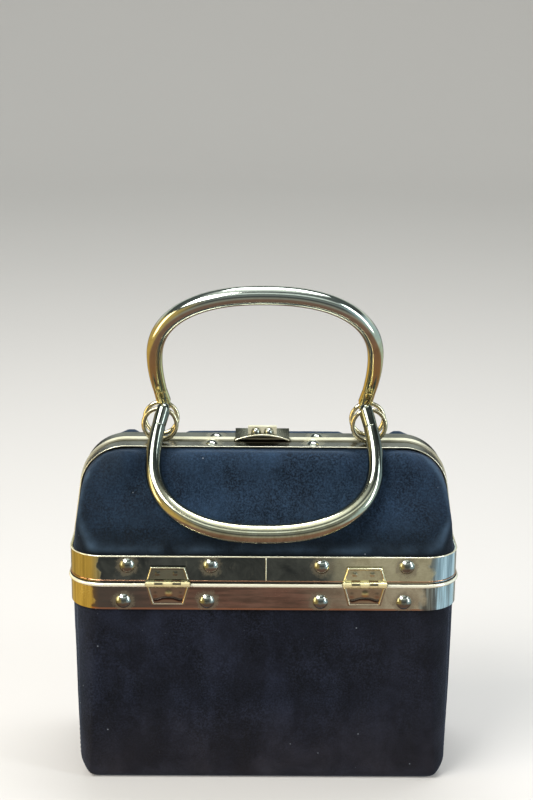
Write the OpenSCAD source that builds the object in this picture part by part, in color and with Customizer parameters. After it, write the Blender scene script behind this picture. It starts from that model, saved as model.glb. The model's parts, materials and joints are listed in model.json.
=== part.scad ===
// Box handbag: a velvet-covered case with two domed lid halves that open
// outwards on brass hinges, two tubular brass handles and a lift clasp.
// +X runs along the ridge, -Y is the front, +Z is up.
// The origin is the centre of the underside.

/* [Body] */
// Overall width across the brass bands
body_w = 220; // [200:1:240]
// Overall depth across the brass bands
body_d = 92; // [88:1:104]
// Height of the parting line between box and lids
parting_z = 123.2; // [110:1:130]
// Height of the flat top of the lid frames
ridge_z = 193.4; // [188:1:200]
// Corner radius of the bands in plan
corner_r = 20; // [16:1:22]
// Inward lean of the lower box walls, from parting line to base
base_inset = 3; // [1:0.5:4]

/* [Covering] */
// Thickness of the velvet
velvet_t = 1.2; // [0.8:0.1:1.6]
// Thickness of the board under the velvet
board_t = 2.4; // [2:0.1:3]
// Thickness of the satin lining
lining_t = 0.8; // [0.5:0.1:1]

/* [Bands] */
// Thickness of the brass sheet
brass_t = 1; // [0.8:0.1:1.2]
// Height of the lower band below the parting line
low_band_h = 16; // [12:0.5:18]
// Height of the upper band above the parting line
up_band_h = 15.8; // [14:0.5:20]
// Radius of the bead along the top of the lower band
bead_r = 1.25; // [1:0.05:1.5]
// Radius of the domed band rivets
rivet_r = 4.3; // [3.5:0.1:5]

/* [Lid] */
// Radius of the rounded top corners of the lids, seen from the front
shoulder_r = 26; // [20:1:30]
// Lean of the lid ends from vertical
end_lean = 8; // [5:0.5:10]
// Radius of the domed front and back faces of the lids
dome_r = 120; // [90:1:160]
// Width of one lid frame across its top
frame_w = 13.6; // [12:0.2:15]

/* [Handles] */
// Half the outer width of a handle at its widest
handle_half_w = 67.2; // [64:0.2:72]
// Distance from the pivot to the middle of the grip
handle_len = 73.4; // [70:0.5:80]
// Distance of each pivot from the middle of the bag
pivot_x = 57.8; // [56:0.2:62]
// Radius of the tube at the middle of the grip
grip_r = 5.4; // [4.5:0.1:6]
// Radius of the tube at its ends
tube_end_r = 3.9; // [3.5:0.1:4.3]
// Angle of the front handle from hanging straight down
front_hang = 37; // [34:1:42]
// Forward lean of the back handle from upright
back_lean = 20; // [0:1:22]

/* [Rings] */
// Radius of a handle ring, to the middle of its wire
ring_r = 9.4; // [8.5:0.1:10]
// Radius of the ring wire
wire_r = 1.25; // [1:0.05:1.3]
// Distance of the ring planes from the middle of the bag
ring_y = 7; // [6.5:0.1:7.5]
// Distance by which each ring stands outside its handle pivot
ring_out = 1.9; // [0:0.1:2]

/* [Hinges] */
// Distance of the left hinge from the middle of the bag
hinge_left_x = 53.8; // [50:0.2:60]
// Distance of the right hinge from the middle of the bag
hinge_right_x = 56.6; // [50:0.2:60]
// Length of a hinge across its knuckles
hinge_w = 24.8; // [22:0.2:28]
// Radius of a knuckle
knuckle_r = 1.8; // [1.6:0.1:2]

/* [Clasp] */
// Place of the clasp along the ridge
clasp_x = -1.2; // [-2:0.2:2]
// Width of the clasp plate
clasp_w = 31; // [28:0.5:34]
// Rise of the arched clasp plate
clasp_rise = 2.7; // [2:0.1:3.4]

/* [Hidden] */
$fn = 96;
fine = 0.01;
split_gap = 0.3;                      // gap between the two lid frames
parting_gap = 0.4;                    // gap between lower band and lids
half_w = body_w / 2;
half_d = body_d / 2;
skin = brass_t;                       // depth of the velvet below the bands
board_in = skin + velvet_t;           // outer face of the board
lining_in = board_in + board_t;       // outer face of the lining
cavity_in = lining_in + lining_t;     // inner face of the lining
bead_lift = 0.8;                      // rise of the rolled bead on a frame
frame_t = 1.1;                        // sheet thickness of a frame
lid_z = parting_z + parting_gap;
upper_rivet_z = parting_z + up_band_h / 2 + 2.3;
lower_rivet_z = parting_z - low_band_h / 2 - 3;
upper_rivet_xs = [-76.6, -29.8, 32.4, 80.2];
lower_rivet_xs = [-79, -32, 32, 79];
rivet_h = 2.3;                        // rise of a band rivet's dome
frame_rivet_xs = [-30.2, 27.9];
frame_rivet_r = 3.8;
frame_rivet_h = 1.8;
seam_x = 1.2;                         // butt seam in the upper band
band_top = parting_z + up_band_h;
base_t = 3;                           // thickness of the base panel
end_set = 0.6;                        // lid ends stand this far inside the bands
flange_t = 1;                         // frame flange over the board's edge
edge_y = split_gap / 2 + flange_t + 0.05;
knee_z = parting_z - low_band_h;      // the walls lean inwards below this height
wall_slope = base_inset / knee_z;
wall_lean = atan(wall_slope);
end_foot_r = 15;                      // foot rounding seen from the front
side_foot_r = 5;                      // foot rounding seen from the end

// Shoulder arc and lean of the lid ends
shoulder_z = ridge_z - shoulder_r;
shoulder_x = half_w - end_set - (shoulder_z - band_top) * tan(end_lean)
             - shoulder_r / cos(end_lean);

// Front dome arc: from the top of the band to the front edge of the frame
dome_run = half_d - frame_w;
dome_rise = ridge_z - band_top;
dome_chord = norm([dome_run, dome_rise]);
dome_depth = sqrt(dome_r * dome_r - dome_chord * dome_chord / 4);
dome_y = -half_d + dome_run / 2 + dome_depth * dome_rise / dome_chord;
dome_z = band_top + dome_rise / 2 - dome_depth * dome_run / dome_chord;

// Lid hinge axis
axis_y = half_d + 2.2;
axis_z = parting_z + 0.2;
leaf_t = 1.1;
pin_r = 0.8;
hinge_ease = 0.06;                    // radial play of the turning knuckles
knuckle_gap = 0.15;

// Handle pivots
frame_lift = 0.3;                     // rise of the strip above the lid's outline
frame_top = ridge_z + frame_lift;
foot_z = band_top + 0.1;              // lower ends of the strip
bead_w = 2.3;
ring_z = frame_top + wire_r + 0.15 + ring_r;
pivot_drop = 0.55;                    // hole centre below the wire's centre
pivot_z = ring_z + sqrt(ring_r * ring_r - ring_out * ring_out) - pivot_drop;
ring_x = pivot_x + ring_out;
eye_r = 4.2;
eye_bore_r = 2.1;
eye_flare_r = 3.1;                    // mouth radius of the bore at each side

// Clasp
clasp_front = 6.5;                    // reach in front of the split
clasp_back = 6.6;                     // reach behind the split
clasp_z = frame_top + bead_lift + 0.3; // underside of the clasp's corners
clasp_t = 1.1;
clasp_crest = clasp_z + clasp_rise + clasp_t; // top of the plate at its middle
clasp_axis_y = 8.8;
clasp_axis_z = frame_top + 2.2;
clasp_pin_r = 0.7;
ball_r = 2.45;
ball_x = 3.65;
ball_y = -4;
ball_lift = 0.9;                      // ball centres above the plate
housing_w = 16.4;
housing_h = 4.1;
housing_front = -4.2;
housing_back = -1.4;
// Radius, about the front hinge, inside which the front lid stays under the clasp
strike_r = norm([axis_y - clasp_front, clasp_z - axis_z]) - 0.3;
strike_half = clasp_w / 2 + 0.7;

brass = [0.80, 0.74, 0.52];
dark_brass = [0.62, 0.53, 0.33];
velvet = [0.07, 0.10, 0.17];
satin = [0.10, 0.12, 0.16];
board = [0.45, 0.38, 0.28];

// ---------- helpers ----------

// Rounded plan outline, inset by t
module plan(t) {
    r = corner_r - t;
    square([body_w - 2 * corner_r, body_d - 2 * t], center = true);
    square([body_w - 2 * t, body_d - 2 * corner_r], center = true);
    for (sx = [-1, 1], sy = [-1, 1])
        translate([sx * (half_w - corner_r), sy * (half_d - corner_r)]) circle(r);
}

// Plan outline between two heights
module prism(t, z0, z1) {
    translate([0, 0, z0]) linear_extrude(z1 - z0) plan(t);
}

// Front view outline of the lids, inset by t, open downwards to z0
module shoulder_outline(t, z0) {
    r = shoulder_r - t;
    tx = shoulder_x + r * cos(end_lean);
    tz = shoulder_z + r * sin(end_lean);
    wx = half_w - end_set - t;
    wz = tz - (wx - tx) / tan(end_lean);
    polygon([[-wx, z0], [wx, z0], [wx, wz], [tx, tz], [shoulder_x, shoulder_z + r],
             [-shoulder_x, shoulder_z + r], [-tx, tz], [-wx, wz]]);
    for (sx = [-1, 1]) translate([sx * shoulder_x, shoulder_z]) circle(r);
}

// Front view outline swept from y0 to y1
module shoulder_slab(t, z0, y0, y1) {
    translate([0, y1, 0]) rotate([90, 0, 0]) linear_extrude(y1 - y0)
        shoulder_outline(t, z0);
}

// Side view outline of the front lid, inset by t, swept along X
module dome_slab(t, z0, y1) {
    translate([-half_w, 0, 0]) rotate([90, 0, 90]) linear_extrude(body_w)
        intersection() {
            translate([dome_y, dome_z]) circle(dome_r - t, $fn = 192);
            translate([-half_d, z0]) square([half_d + y1, ridge_z - z0 + 2]);
        }
}

// Solid front lid half, inset by t, from z0 up and from the front to y1
module lid_solid(t, z0, y1) {
    intersection() {
        prism(t, z0, ridge_z + 2);
        shoulder_slab(t, z0 - 1, -half_d - 1, y1);
        dome_slab(t, z0 - 0.5, y1);
    }
}

// Layer of a lid between two insets, cut away under the clasp on the front lid
module lid_layer(t_out, t_in, pocket) {
    difference() {
        lid_solid(t_out, lid_z, -edge_y);
        lid_solid(t_in, lid_z - 1, 1);
        if (pocket) strike_pocket(strike_r - 1.2);
    }
}

// Everything beyond radius r of the front hinge, under the clasp
module strike_pocket(r) {
    difference() {
        translate([clasp_x - strike_half, -frame_w - 1, ridge_z - 9])
            cube([2 * strike_half, frame_w + 3, 12]);
        translate([clasp_x - strike_half - 1, -axis_y, axis_z]) rotate([0, 90, 0])
            cylinder(r = r, h = 2 * strike_half + 2, $fn = 192);
    }
}

// The same piece turned about the middle of the bag, for the back lid
module at_back() { rotate([0, 0, 180]) children(); }

// Domed rivet head standing on a face that looks towards -Y
module rivet(r, h) {
    cap_r = (r * r + h * h) / (2 * h);
    rotate([90, 0, 0]) intersection() {
        translate([0, 0, h - cap_r]) sphere(cap_r, $fn = 48);
        cylinder(r = r + 1, h = h + 1, $fn = 48);
    }
}

module band_rivet_row(xs, z) {
    for (x = xs) translate([x, -half_d, z]) rivet(rivet_r, rivet_h);
}

function hinge_at(side) = side > 0 ? hinge_right_x : -hinge_left_x;

// Relief along a hinge axis, so that the knuckles turn freely
module knuckle_relief() {
    for (side = [-1, 1]) translate([hinge_at(side) - hinge_w / 2 - 0.3, 0, 0]) {
        translate([0, -axis_y, axis_z]) rotate([0, 90, 0])
            cylinder(r = knuckle_r + 0.35, h = hinge_w + 0.6);
        translate([0, -half_d - 3, parting_z - 2 * bead_r - 0.2])
            cube([hinge_w + 0.6, 3, 2 * bead_r + 0.2]);
    }
}

// ---------- lower box ----------

// Half width of the leaning wall at height z, inset by t
function wall_half(half, t, z) = half - t - max(0, knee_z - z) * wall_slope;

// Front or side outline of the lower box, inset by t, with rounded foot corners
module taper_outline(half, t, foot_r, z1) {
    r = max(foot_r - t, 0.8);
    cx = wall_half(half, t, r) - r / cos(wall_lean);
    tx = cx + r * cos(wall_lean);
    tz = r - r * sin(wall_lean);
    polygon([[-cx, 0], [cx, 0], [tx, tz], [half - t, knee_z], [half - t, z1],
             [t - half, z1], [t - half, knee_z], [-tx, tz]]);
    for (sx = [-1, 1]) translate([sx * cx, r]) circle(r);
}

// Lower box inset by t, from the underside to z1
module lower_solid(t, z1) {
    intersection() {
        prism(t, -1, z1);
        translate([0, half_d, 0]) rotate([90, 0, 0]) linear_extrude(body_d)
            taper_outline(half_w, t, end_foot_r, max(z1, knee_z) + 1);
        translate([-half_w, 0, 0]) rotate([90, 0, 90]) linear_extrude(body_w)
            taper_outline(half_d, t, side_foot_r, max(z1, knee_z) + 1);
    }
}

// Part of the lower box above z0
module above(z0) {
    intersection() {
        children();
        translate([-body_w, -body_w, z0]) cube([2 * body_w, 2 * body_w, 2 * ridge_z]);
    }
}

module lower_layer(t_out, t_in, z0, z1) {
    above(z0) difference() {
        lower_solid(t_out, z1);
        lower_solid(t_in, z1 + 1);
    }
}

module base_panel() {
    color(velvet) lower_solid(board_in, base_t);
}

module lower_board() {
    color(board) lower_layer(board_in, lining_in, base_t, parting_z);
}

module lower_velvet() {
    color(velvet) lower_layer(skin + 0.02, board_in, 0.4, parting_z - 2.4);
}

module lower_lining() {
    color(satin) above(base_t) difference() {
        lower_solid(lining_in, parting_z - 0.2);
        above(base_t + lining_t) lower_solid(cavity_in, parting_z + 1);
    }
}

module lower_band() {
    color(brass) difference() {
        union() {
            difference() {
                prism(0, parting_z - low_band_h, parting_z);
                prism(brass_t, parting_z - low_band_h - 1, parting_z + 1);
            }
            bead();
        }
        knuckle_relief();
        at_back() knuckle_relief();
    }
}

// Rolled bead along the top of the lower band
module bead() {
    z = parting_z - bead_r;
    cx = half_w - corner_r;
    cy = half_d - corner_r;
    for (sy = [-1, 1]) translate([-cx, sy * half_d, z]) rotate([0, 90, 0])
        cylinder(r = bead_r, h = 2 * cx, $fn = 32);
    for (sx = [-1, 1]) translate([sx * half_w, -cy, z]) rotate([-90, 0, 0])
        cylinder(r = bead_r, h = 2 * cy, $fn = 32);
    for (i = [0:3]) {
        sx = i == 0 || i == 3 ? 1 : -1;
        sy = i < 2 ? 1 : -1;
        translate([sx * cx, sy * cy, z]) rotate([0, 0, 90 * i])
            rotate_extrude(angle = 90) translate([corner_r, 0]) circle(bead_r, $fn = 32);
    }
}

module lower_rivets() {
    color(brass) {
        band_rivet_row(lower_rivet_xs, lower_rivet_z);
        at_back() band_rivet_row(lower_rivet_xs, lower_rivet_z);
    }
}

// ---------- lid halves ----------

module lid_board(pocket) { lid_layer(board_in, lining_in, pocket); }

module lid_lining(pocket) { lid_layer(lining_in, cavity_in, pocket); }

// Velvet, tucked under the band below and the frame along the split
module lid_velvet() {
    tuck = 1;
    slack = 0.04;
    difference() {
        lid_solid(skin + 0.02, lid_z, tuck - frame_w);
        lid_solid(board_in - slack, lid_z - 1, 1);
    }
}

// Sheet brass round the foot of the lid, on one side of the front seam
module lid_band_half(side) {
    seam = 0.15;
    x0 = side > 0 ? seam_x + seam : -half_w - 1;
    x1 = side > 0 ? half_w + 1 : seam_x - seam;
    difference() {
        intersection() {
            prism(0, lid_z, band_top);
            translate([x0, -half_d - 1, lid_z - 1])
                cube([x1 - x0, half_d + 1 - split_gap / 2, up_band_h + 2]);
        }
        prism(brass_t, lid_z - 1, band_top + 1);
        knuckle_relief();
    }
}

// Strip following the lid's front view outline between two insets
module outline_strip(t_out, t_in, z0, y0, y1) {
    translate([0, y1, 0]) rotate([90, 0, 0]) linear_extrude(y1 - y0) intersection() {
        difference() {
            shoulder_outline(t_out, 0);
            shoulder_outline(t_in, -1);
        }
        translate([-body_w, z0]) square([2 * body_w, ridge_z]);
    }
}

// Flat strip along the split edge
module lid_frame(pocket) {
    difference() {
        outline_strip(-frame_lift, frame_t - frame_lift, foot_z, -frame_w, -split_gap / 2);
        if (pocket) strike_pocket(strike_r - 1);
    }
}

// Rolled bead on the strip, beside the split
module lid_frame_bead(pocket) {
    difference() {
        outline_strip(-frame_lift - bead_lift, -frame_lift, foot_z, -bead_w, -split_gap / 2);
        if (pocket) strike_pocket(strike_r - 1);
    }
}

// Flange that closes the edge of the board inside the split
module lid_frame_flange(pocket) {
    difference() {
        outline_strip(frame_t - frame_lift, cavity_in + 0.4, lid_z,
                      -split_gap / 2 - flange_t, -split_gap / 2);
        if (pocket) strike_pocket(strike_r - 1);
    }
}

module frame_rivets_pair() {
    for (x = frame_rivet_xs) translate([x, -7.4, frame_top]) rotate([-90, 0, 0])
        rivet(frame_rivet_r, frame_rivet_h);
}

// Strike plate that lines the pocket under the clasp
module lid_strike() {
    edge = split_gap / 2;
    difference() {
        intersection() {
            translate([clasp_x + 0.1 - strike_half, -10, ridge_z - 8])
                cube([2 * strike_half - 0.2, 10 - edge, frame_top - ridge_z + 8]);
            translate([clasp_x - strike_half, -axis_y, axis_z]) rotate([0, 90, 0])
                cylinder(r = strike_r, h = 2 * strike_half, $fn = 192);
        }
        translate([clasp_x - strike_half - 1, -axis_y, axis_z]) rotate([0, 90, 0])
            cylinder(r = strike_r - 1 + fine, h = 2 * strike_half + 2, $fn = 192);
    }
}

// ---------- hinges ----------

// Leaf plate lying on the band: up = 1 for the lid's leaf, -1 for the box's
module leaf_plate(up, reach) {
    root = knuckle_r + 0.45;
    wide = hinge_w / 2 - 0.2;
    narrow = wide - 2.2 * reach / 10;
    translate([0, -half_d - 0.05, axis_z]) rotate([90, 0, 0]) linear_extrude(leaf_t)
        polygon([[-wide, up * root], [wide, up * root], [narrow, up * reach], [-narrow, up * reach]]);
}

// Tongue that joins a knuckle to its leaf
module leaf_tongue(x0, x1, up) {
    root = knuckle_r + 0.5;
    translate([x0, -half_d - 0.05 - leaf_t, axis_z + (up > 0 ? 0 : -root)])
        cube([x1 - x0, leaf_t, root]);
}

function knuckle_x(i) = -hinge_w / 2 + i * hinge_w / 5 + knuckle_gap / 2;
function knuckle_len() = hinge_w / 5 - knuckle_gap;

module hinge_half(side, first, up, reach, bore) {
    translate([hinge_at(side), 0, 0]) difference() {
        union() {
            leaf_plate(up, reach);
            for (i = [first:2:4]) {
                leaf_tongue(knuckle_x(i), knuckle_x(i) + knuckle_len(), up);
                translate([knuckle_x(i), -axis_y, axis_z]) rotate([0, 90, 0])
                    cylinder(r = knuckle_r, h = knuckle_len(), $fn = 48);
            }
        }
        translate([-hinge_w, -axis_y, axis_z]) rotate([0, 90, 0])
            cylinder(r = bore, h = 2 * hinge_w, $fn = 48);
    }
}

module lid_leaf(side) { hinge_half(side, 0, 1, 9.8, pin_r + hinge_ease); }

module box_leaf(side) { hinge_half(side, 1, -1, 13, pin_r); }

module hinge_pin(side) {
    translate([hinge_at(side) - hinge_w / 2 - 0.4, -axis_y, axis_z]) rotate([0, 90, 0])
        cylinder(r = pin_r, h = hinge_w + 0.8, $fn = 48);
}

// ---------- rings and handles ----------

module ring(side) {
    translate([side * ring_x, -ring_y, ring_z]) rotate([90, 0, 0])
        rotate_extrude() translate([ring_r, 0]) circle(wire_r, $fn = 32);
}

// Small loop over the foot of a ring
module staple(side) {
    leg = 2.3;
    wire = 0.85;
    rise = 1.35;
    translate([side * ring_x, -ring_y, frame_top]) {
        translate([0, 0, rise]) rotate([90, 0, 90])
            rotate_extrude(angle = 180) translate([leg, 0]) circle(wire, $fn = 32);
        for (sy = [-1, 1]) translate([0, sy * leg, 0]) {
            cylinder(r = wire, h = rise, $fn = 32);
            cylinder(r = wire + 0.5, h = 0.4, $fn = 32);
        }
    }
}

// Centre line of a handle in its own plane: x across, z away from the pivots.
// It rises from the eye, bows out, and closes over the top in a flat ellipse.
widest = handle_len * 0.42;
function handle_point(u) =
    let (hw = handle_half_w - 4.6)
    u < 0.3
        ? let (s = u / 0.3) [pivot_x + (hw - pivot_x) * sin(90 * s), widest * s]
        : let (a = 90 * (u - 0.3) / 0.7)
          [hw * pow(cos(a), 0.86), widest + (handle_len - widest) * pow(sin(a), 0.86)];

function handle_line(n) = concat(
    [for (i = [0:n]) let (p = handle_point(i / n)) [p[0], 0, p[1]]],
    [for (i = [n - 1:-1:0]) let (p = handle_point(i / n)) [-p[0], 0, p[1]]]);

function unit(v) = v / norm(v);

// Tube along a flat path in the XZ plane, with a radius for each point
module tapered_tube(path, radii, sides) {
    n = len(path);
    tangent = [for (i = [0:n - 1])
        unit(path[min(i + 1, n - 1)] - path[max(i - 1, 0)])];
    points = [for (i = [0:n - 1]) for (k = [0:sides - 1])
        let (c = cos(360 * k / sides), s = sin(360 * k / sides))
        path[i] + radii[i] * (c * [0, 1, 0] + s * cross(tangent[i], [0, 1, 0]))];
    sides_faces = [for (i = [0:n - 2]) for (k = [0:sides - 1])
        let (a = i * sides + k, b = i * sides + (k + 1) % sides)
        [a, b, b + sides, a + sides]];
    caps = [[for (k = [sides - 1:-1:0]) k], [for (k = [0:sides - 1]) (n - 1) * sides + k]];
    polyhedron(points, concat(sides_faces, caps), convexity = 6);
}

module handle_tube() {
    n = 22;
    full = handle_line(n);
    skip = 2;
    line = [for (i = [skip:len(full) - 1 - skip]) full[i]];
    m = len(line);
    radii = [for (i = [0:m - 1])
        tube_end_r + (grip_r - tube_end_r) * pow(sin(180 * i / (m - 1)), 0.8)];
    tapered_tube(line, radii, 20);
}

// Rounded eye at a handle's end, bored across for the ring
module handle_eye(side) {
    n = 22;
    full = handle_line(n);
    end = full[2];
    len_z = norm([end[0] - pivot_x, end[2]]);
    tilt = atan2(end[0] - pivot_x, end[2]);
    mirror([side < 0 ? 1 : 0, 0, 0]) translate([pivot_x, 0, 0]) difference() {
        rotate([0, tilt, 0]) union() {
            sphere(eye_r, $fn = 48);
            cylinder(r1 = eye_r, r2 = tube_end_r, h = len_z, $fn = 48);
        }
        translate([-eye_r - 2, 0, 0]) rotate([0, 90, 0])
            cylinder(r = eye_bore_r, h = 2 * eye_r + 4, $fn = 48);
        for (sx = [-1, 1]) rotate([0, sx * 90, 0]) translate([0, 0, eye_r / 2])
            cylinder(r1 = eye_bore_r - fine, r2 = eye_flare_r, h = eye_r / 2 + 0.8, $fn = 48);
    }
}

module front_handle_pose() {
    translate([0, -ring_y, pivot_z]) rotate([180 - front_hang, 0, 0]) children();
}

module back_handle_pose() {
    translate([0, ring_y, pivot_z]) rotate([back_lean, 0, 0]) children();
}

// ---------- clasp ----------

// Drop of the plate's front edge at x, below its middle
function clasp_drop(x) = clasp_rise * pow(x / (clasp_w / 2), 2);

// Top of the clasp plate: straight along the back edge, arched along the front edge
function clasp_top(x, y) =
    clasp_crest - clasp_drop(x) * (clasp_back - y) / (clasp_back + clasp_front);

// Ruled slab whose top follows the plate, raised by lift, down to a depth below it or a flat floor
module clasp_slab(lift, depth, floor_z) {
    n = 24;
    xs = [for (i = [0:n]) -clasp_w / 2 + i * clasp_w / n];
    top = [for (y = [-clasp_front, clasp_back]) for (x = xs) [x, y, clasp_top(x, y) + lift]];
    low = [for (p = top) [p[0], p[1], depth > 0 ? p[2] - depth : floor_z]];
    m = n + 1;
    q = 2 * m;
    polyhedron(concat(top, low), concat(
        [for (i = [0:n - 1]) [i, i + m, i + 1]],
        [for (i = [0:n - 1]) [i + 1, i + m, i + 1 + m]],
        [for (i = [0:n - 1]) [q + i, q + i + 1, q + i + m]],
        [for (i = [0:n - 1]) [q + i + 1, q + i + 1 + m, q + i + m]],
        [for (i = [0:n - 1]) [i, i + 1, q + i + 1, q + i]],
        [for (i = [0:n - 1]) [m + i + 1, m + i, q + m + i, q + m + i + 1]],
        [[0, q, q + m, m], [n, n + m, q + m + n, q + n]]), convexity = 4);
}

module clasp_balls_shape(grow) {
    for (sx = [-1, 1]) translate([sx * ball_x, ball_y, clasp_crest + ball_lift])
        sphere(ball_r + grow, $fn = 48);
}

module clasp_plate() {
    knuckle_half = 9.4;
    tongue_y = clasp_back - 1.2;
    tongue_z = clasp_axis_z + 0.2;
    color(brass) translate([clasp_x, 0, 0]) difference() {
        union() {
            clasp_slab(0, clasp_t, 0);
            translate([-knuckle_half, clasp_axis_y, clasp_axis_z]) rotate([0, 90, 0])
                cylinder(r = 1.5, h = 2 * knuckle_half, $fn = 48);
            translate([-knuckle_half, tongue_y, tongue_z])
                cube([2 * knuckle_half, 2.6, 1.3]);
            intersection() {
                translate([-knuckle_half, tongue_y, tongue_z])
                    cube([2 * knuckle_half, 1.2, 6]);
                clasp_slab(0, 0, tongue_z);
            }
        }
        translate([-20, clasp_axis_y, clasp_axis_z]) rotate([0, 90, 0])
            cylinder(r = clasp_pin_r + 0.05, h = 40, $fn = 48);
        clasp_balls_shape(0.02);
    }
}

// Raised box with two arched openings towards the front
module clasp_housing() {
    arch_r = ball_r + 0.35;
    arch_z = clasp_crest + ball_lift - 0.1;
    wall = 1.2;
    color(brass) translate([clasp_x, 0, 0]) difference() {
        translate([-housing_w / 2, housing_front, clasp_crest - 2])
            cube([housing_w, housing_back - housing_front, housing_h + 2]);
        clasp_slab(0.02, 0, clasp_crest - 4);
        for (sx = [-1, 1]) {
            translate([sx * ball_x, housing_back - wall, arch_z]) rotate([90, 0, 0])
                cylinder(r = arch_r, h = 12, $fn = 48);
            translate([sx * ball_x - arch_r, housing_back - wall - 12, arch_z - 6])
                cube([2 * arch_r, 12, 6]);
        }
        clasp_balls_shape(0.02);
    }
}

module clasp_balls() { color(brass) translate([clasp_x, 0, 0]) clasp_balls_shape(0); }

module clasp_pin() {
    color(dark_brass) translate([clasp_x - 14.6, clasp_axis_y, clasp_axis_z]) rotate([0, 90, 0])
        cylinder(r = clasp_pin_r, h = 29.2, $fn = 48);
}

// Two lugs on the back frame that hold the clasp pin
module clasp_lugs() {
    color(brass) for (x0 = [-14.2, 9.7]) translate([clasp_x + x0, 0, 0]) difference() {
        union() {
            translate([0, clasp_axis_y, clasp_axis_z]) rotate([0, 90, 0])
                cylinder(r = 1.5, h = 4.5, $fn = 48);
            translate([0, clasp_axis_y - 1.5, frame_top])
                cube([4.5, 3, clasp_axis_z - frame_top]);
        }
        translate([-1, clasp_axis_y, clasp_axis_z]) rotate([0, 90, 0])
            cylinder(r = clasp_pin_r, h = 7, $fn = 48);
    }
}

// ---------- sub-parts of the two lids ----------

module front_board() { color(board) lid_board(true); }
module front_velvet() { color(velvet) lid_velvet(); }
module front_lining() { color(satin) lid_lining(true); }
module front_band_left() { color(brass) lid_band_half(-1); }
module front_band_right() { color(brass) lid_band_half(1); }
module front_band_rivets() { color(brass) band_rivet_row(upper_rivet_xs, upper_rivet_z); }
module front_frame() { color(brass) lid_frame(true); }
module front_frame_bead() { color(brass) lid_frame_bead(true); }
module front_frame_flange() { color(brass) lid_frame_flange(true); }
module front_frame_rivets() { color(brass) frame_rivets_pair(); }
module front_strike() { color(dark_brass) lid_strike(); }

module back_board() { color(board) at_back() lid_board(false); }
module back_velvet() { color(velvet) at_back() lid_velvet(); }
module back_lining() { color(satin) at_back() lid_lining(false); }
module back_band_left() { color(brass) at_back() lid_band_half(1); }
module back_band_right() { color(brass) at_back() lid_band_half(-1); }
module back_band_rivets() { color(brass) at_back() band_rivet_row(upper_rivet_xs, upper_rivet_z); }
module back_frame() { color(brass) at_back() lid_frame(false); }
module back_frame_bead() { color(brass) at_back() lid_frame_bead(false); }
module back_frame_flange() { color(brass) at_back() lid_frame_flange(false); }
module back_frame_rivets() { color(brass) at_back() frame_rivets_pair(); }

// ---------- sub-parts of the hinges, rings and handles ----------

module front_left_hinge_lid_leaf() { color(brass) lid_leaf(-1); }
module front_left_hinge_box_leaf() { color(brass) box_leaf(-1); }
module front_left_hinge_pin() { color(dark_brass) hinge_pin(-1); }
module front_right_hinge_lid_leaf() { color(brass) lid_leaf(1); }
module front_right_hinge_box_leaf() { color(brass) box_leaf(1); }
module front_right_hinge_pin() { color(dark_brass) hinge_pin(1); }
module back_left_hinge_lid_leaf() { color(brass) at_back() lid_leaf(1); }
module back_left_hinge_box_leaf() { color(brass) at_back() box_leaf(1); }
module back_left_hinge_pin() { color(dark_brass) at_back() hinge_pin(1); }
module back_right_hinge_lid_leaf() { color(brass) at_back() lid_leaf(-1); }
module back_right_hinge_box_leaf() { color(brass) at_back() box_leaf(-1); }
module back_right_hinge_pin() { color(dark_brass) at_back() hinge_pin(-1); }

module front_left_ring() { color(brass) ring(-1); }
module front_right_ring() { color(brass) ring(1); }
module back_left_ring() { color(brass) at_back() ring(1); }
module back_right_ring() { color(brass) at_back() ring(-1); }
module front_left_staple() { color(brass) staple(-1); }
module front_right_staple() { color(brass) staple(1); }
module back_left_staple() { color(brass) at_back() staple(1); }
module back_right_staple() { color(brass) at_back() staple(-1); }

module front_handle_tube() { color(brass) front_handle_pose() handle_tube(); }
module front_handle_left_eye() { color(brass) front_handle_pose() handle_eye(-1); }
module front_handle_right_eye() { color(brass) front_handle_pose() handle_eye(1); }
module back_handle_tube() { color(brass) back_handle_pose() handle_tube(); }
module back_handle_left_eye() { color(brass) back_handle_pose() handle_eye(-1); }
module back_handle_right_eye() { color(brass) back_handle_pose() handle_eye(1); }

base_panel();
lower_board();
lower_velvet();
lower_lining();
lower_band();
lower_rivets();
front_board();
front_velvet();
front_lining();
front_band_left();
front_band_right();
front_band_rivets();
front_frame();
front_frame_bead();
front_frame_flange();
front_frame_rivets();
front_strike();
back_board();
back_velvet();
back_lining();
back_band_left();
back_band_right();
back_band_rivets();
back_frame();
back_frame_bead();
back_frame_flange();
back_frame_rivets();
front_left_hinge_lid_leaf();
front_left_hinge_box_leaf();
front_left_hinge_pin();
front_right_hinge_lid_leaf();
front_right_hinge_box_leaf();
front_right_hinge_pin();
back_left_hinge_lid_leaf();
back_left_hinge_box_leaf();
back_left_hinge_pin();
back_right_hinge_lid_leaf();
back_right_hinge_box_leaf();
back_right_hinge_pin();
front_left_ring();
front_right_ring();
back_left_ring();
back_right_ring();
front_left_staple();
front_right_staple();
back_left_staple();
back_right_staple();
front_handle_tube();
front_handle_left_eye();
front_handle_right_eye();
back_handle_tube();
back_handle_left_eye();
back_handle_right_eye();
clasp_plate();
clasp_housing();
clasp_balls();
clasp_pin();
clasp_lugs();
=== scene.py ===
"""Looks of a velvet box handbag with brass bands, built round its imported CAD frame.

Lengths are in millimetres inside the shape functions and become metres in make_mesh().
"""
import json
import math

import bpy
import numpy as np
from mathutils import Matrix, Vector


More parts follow.
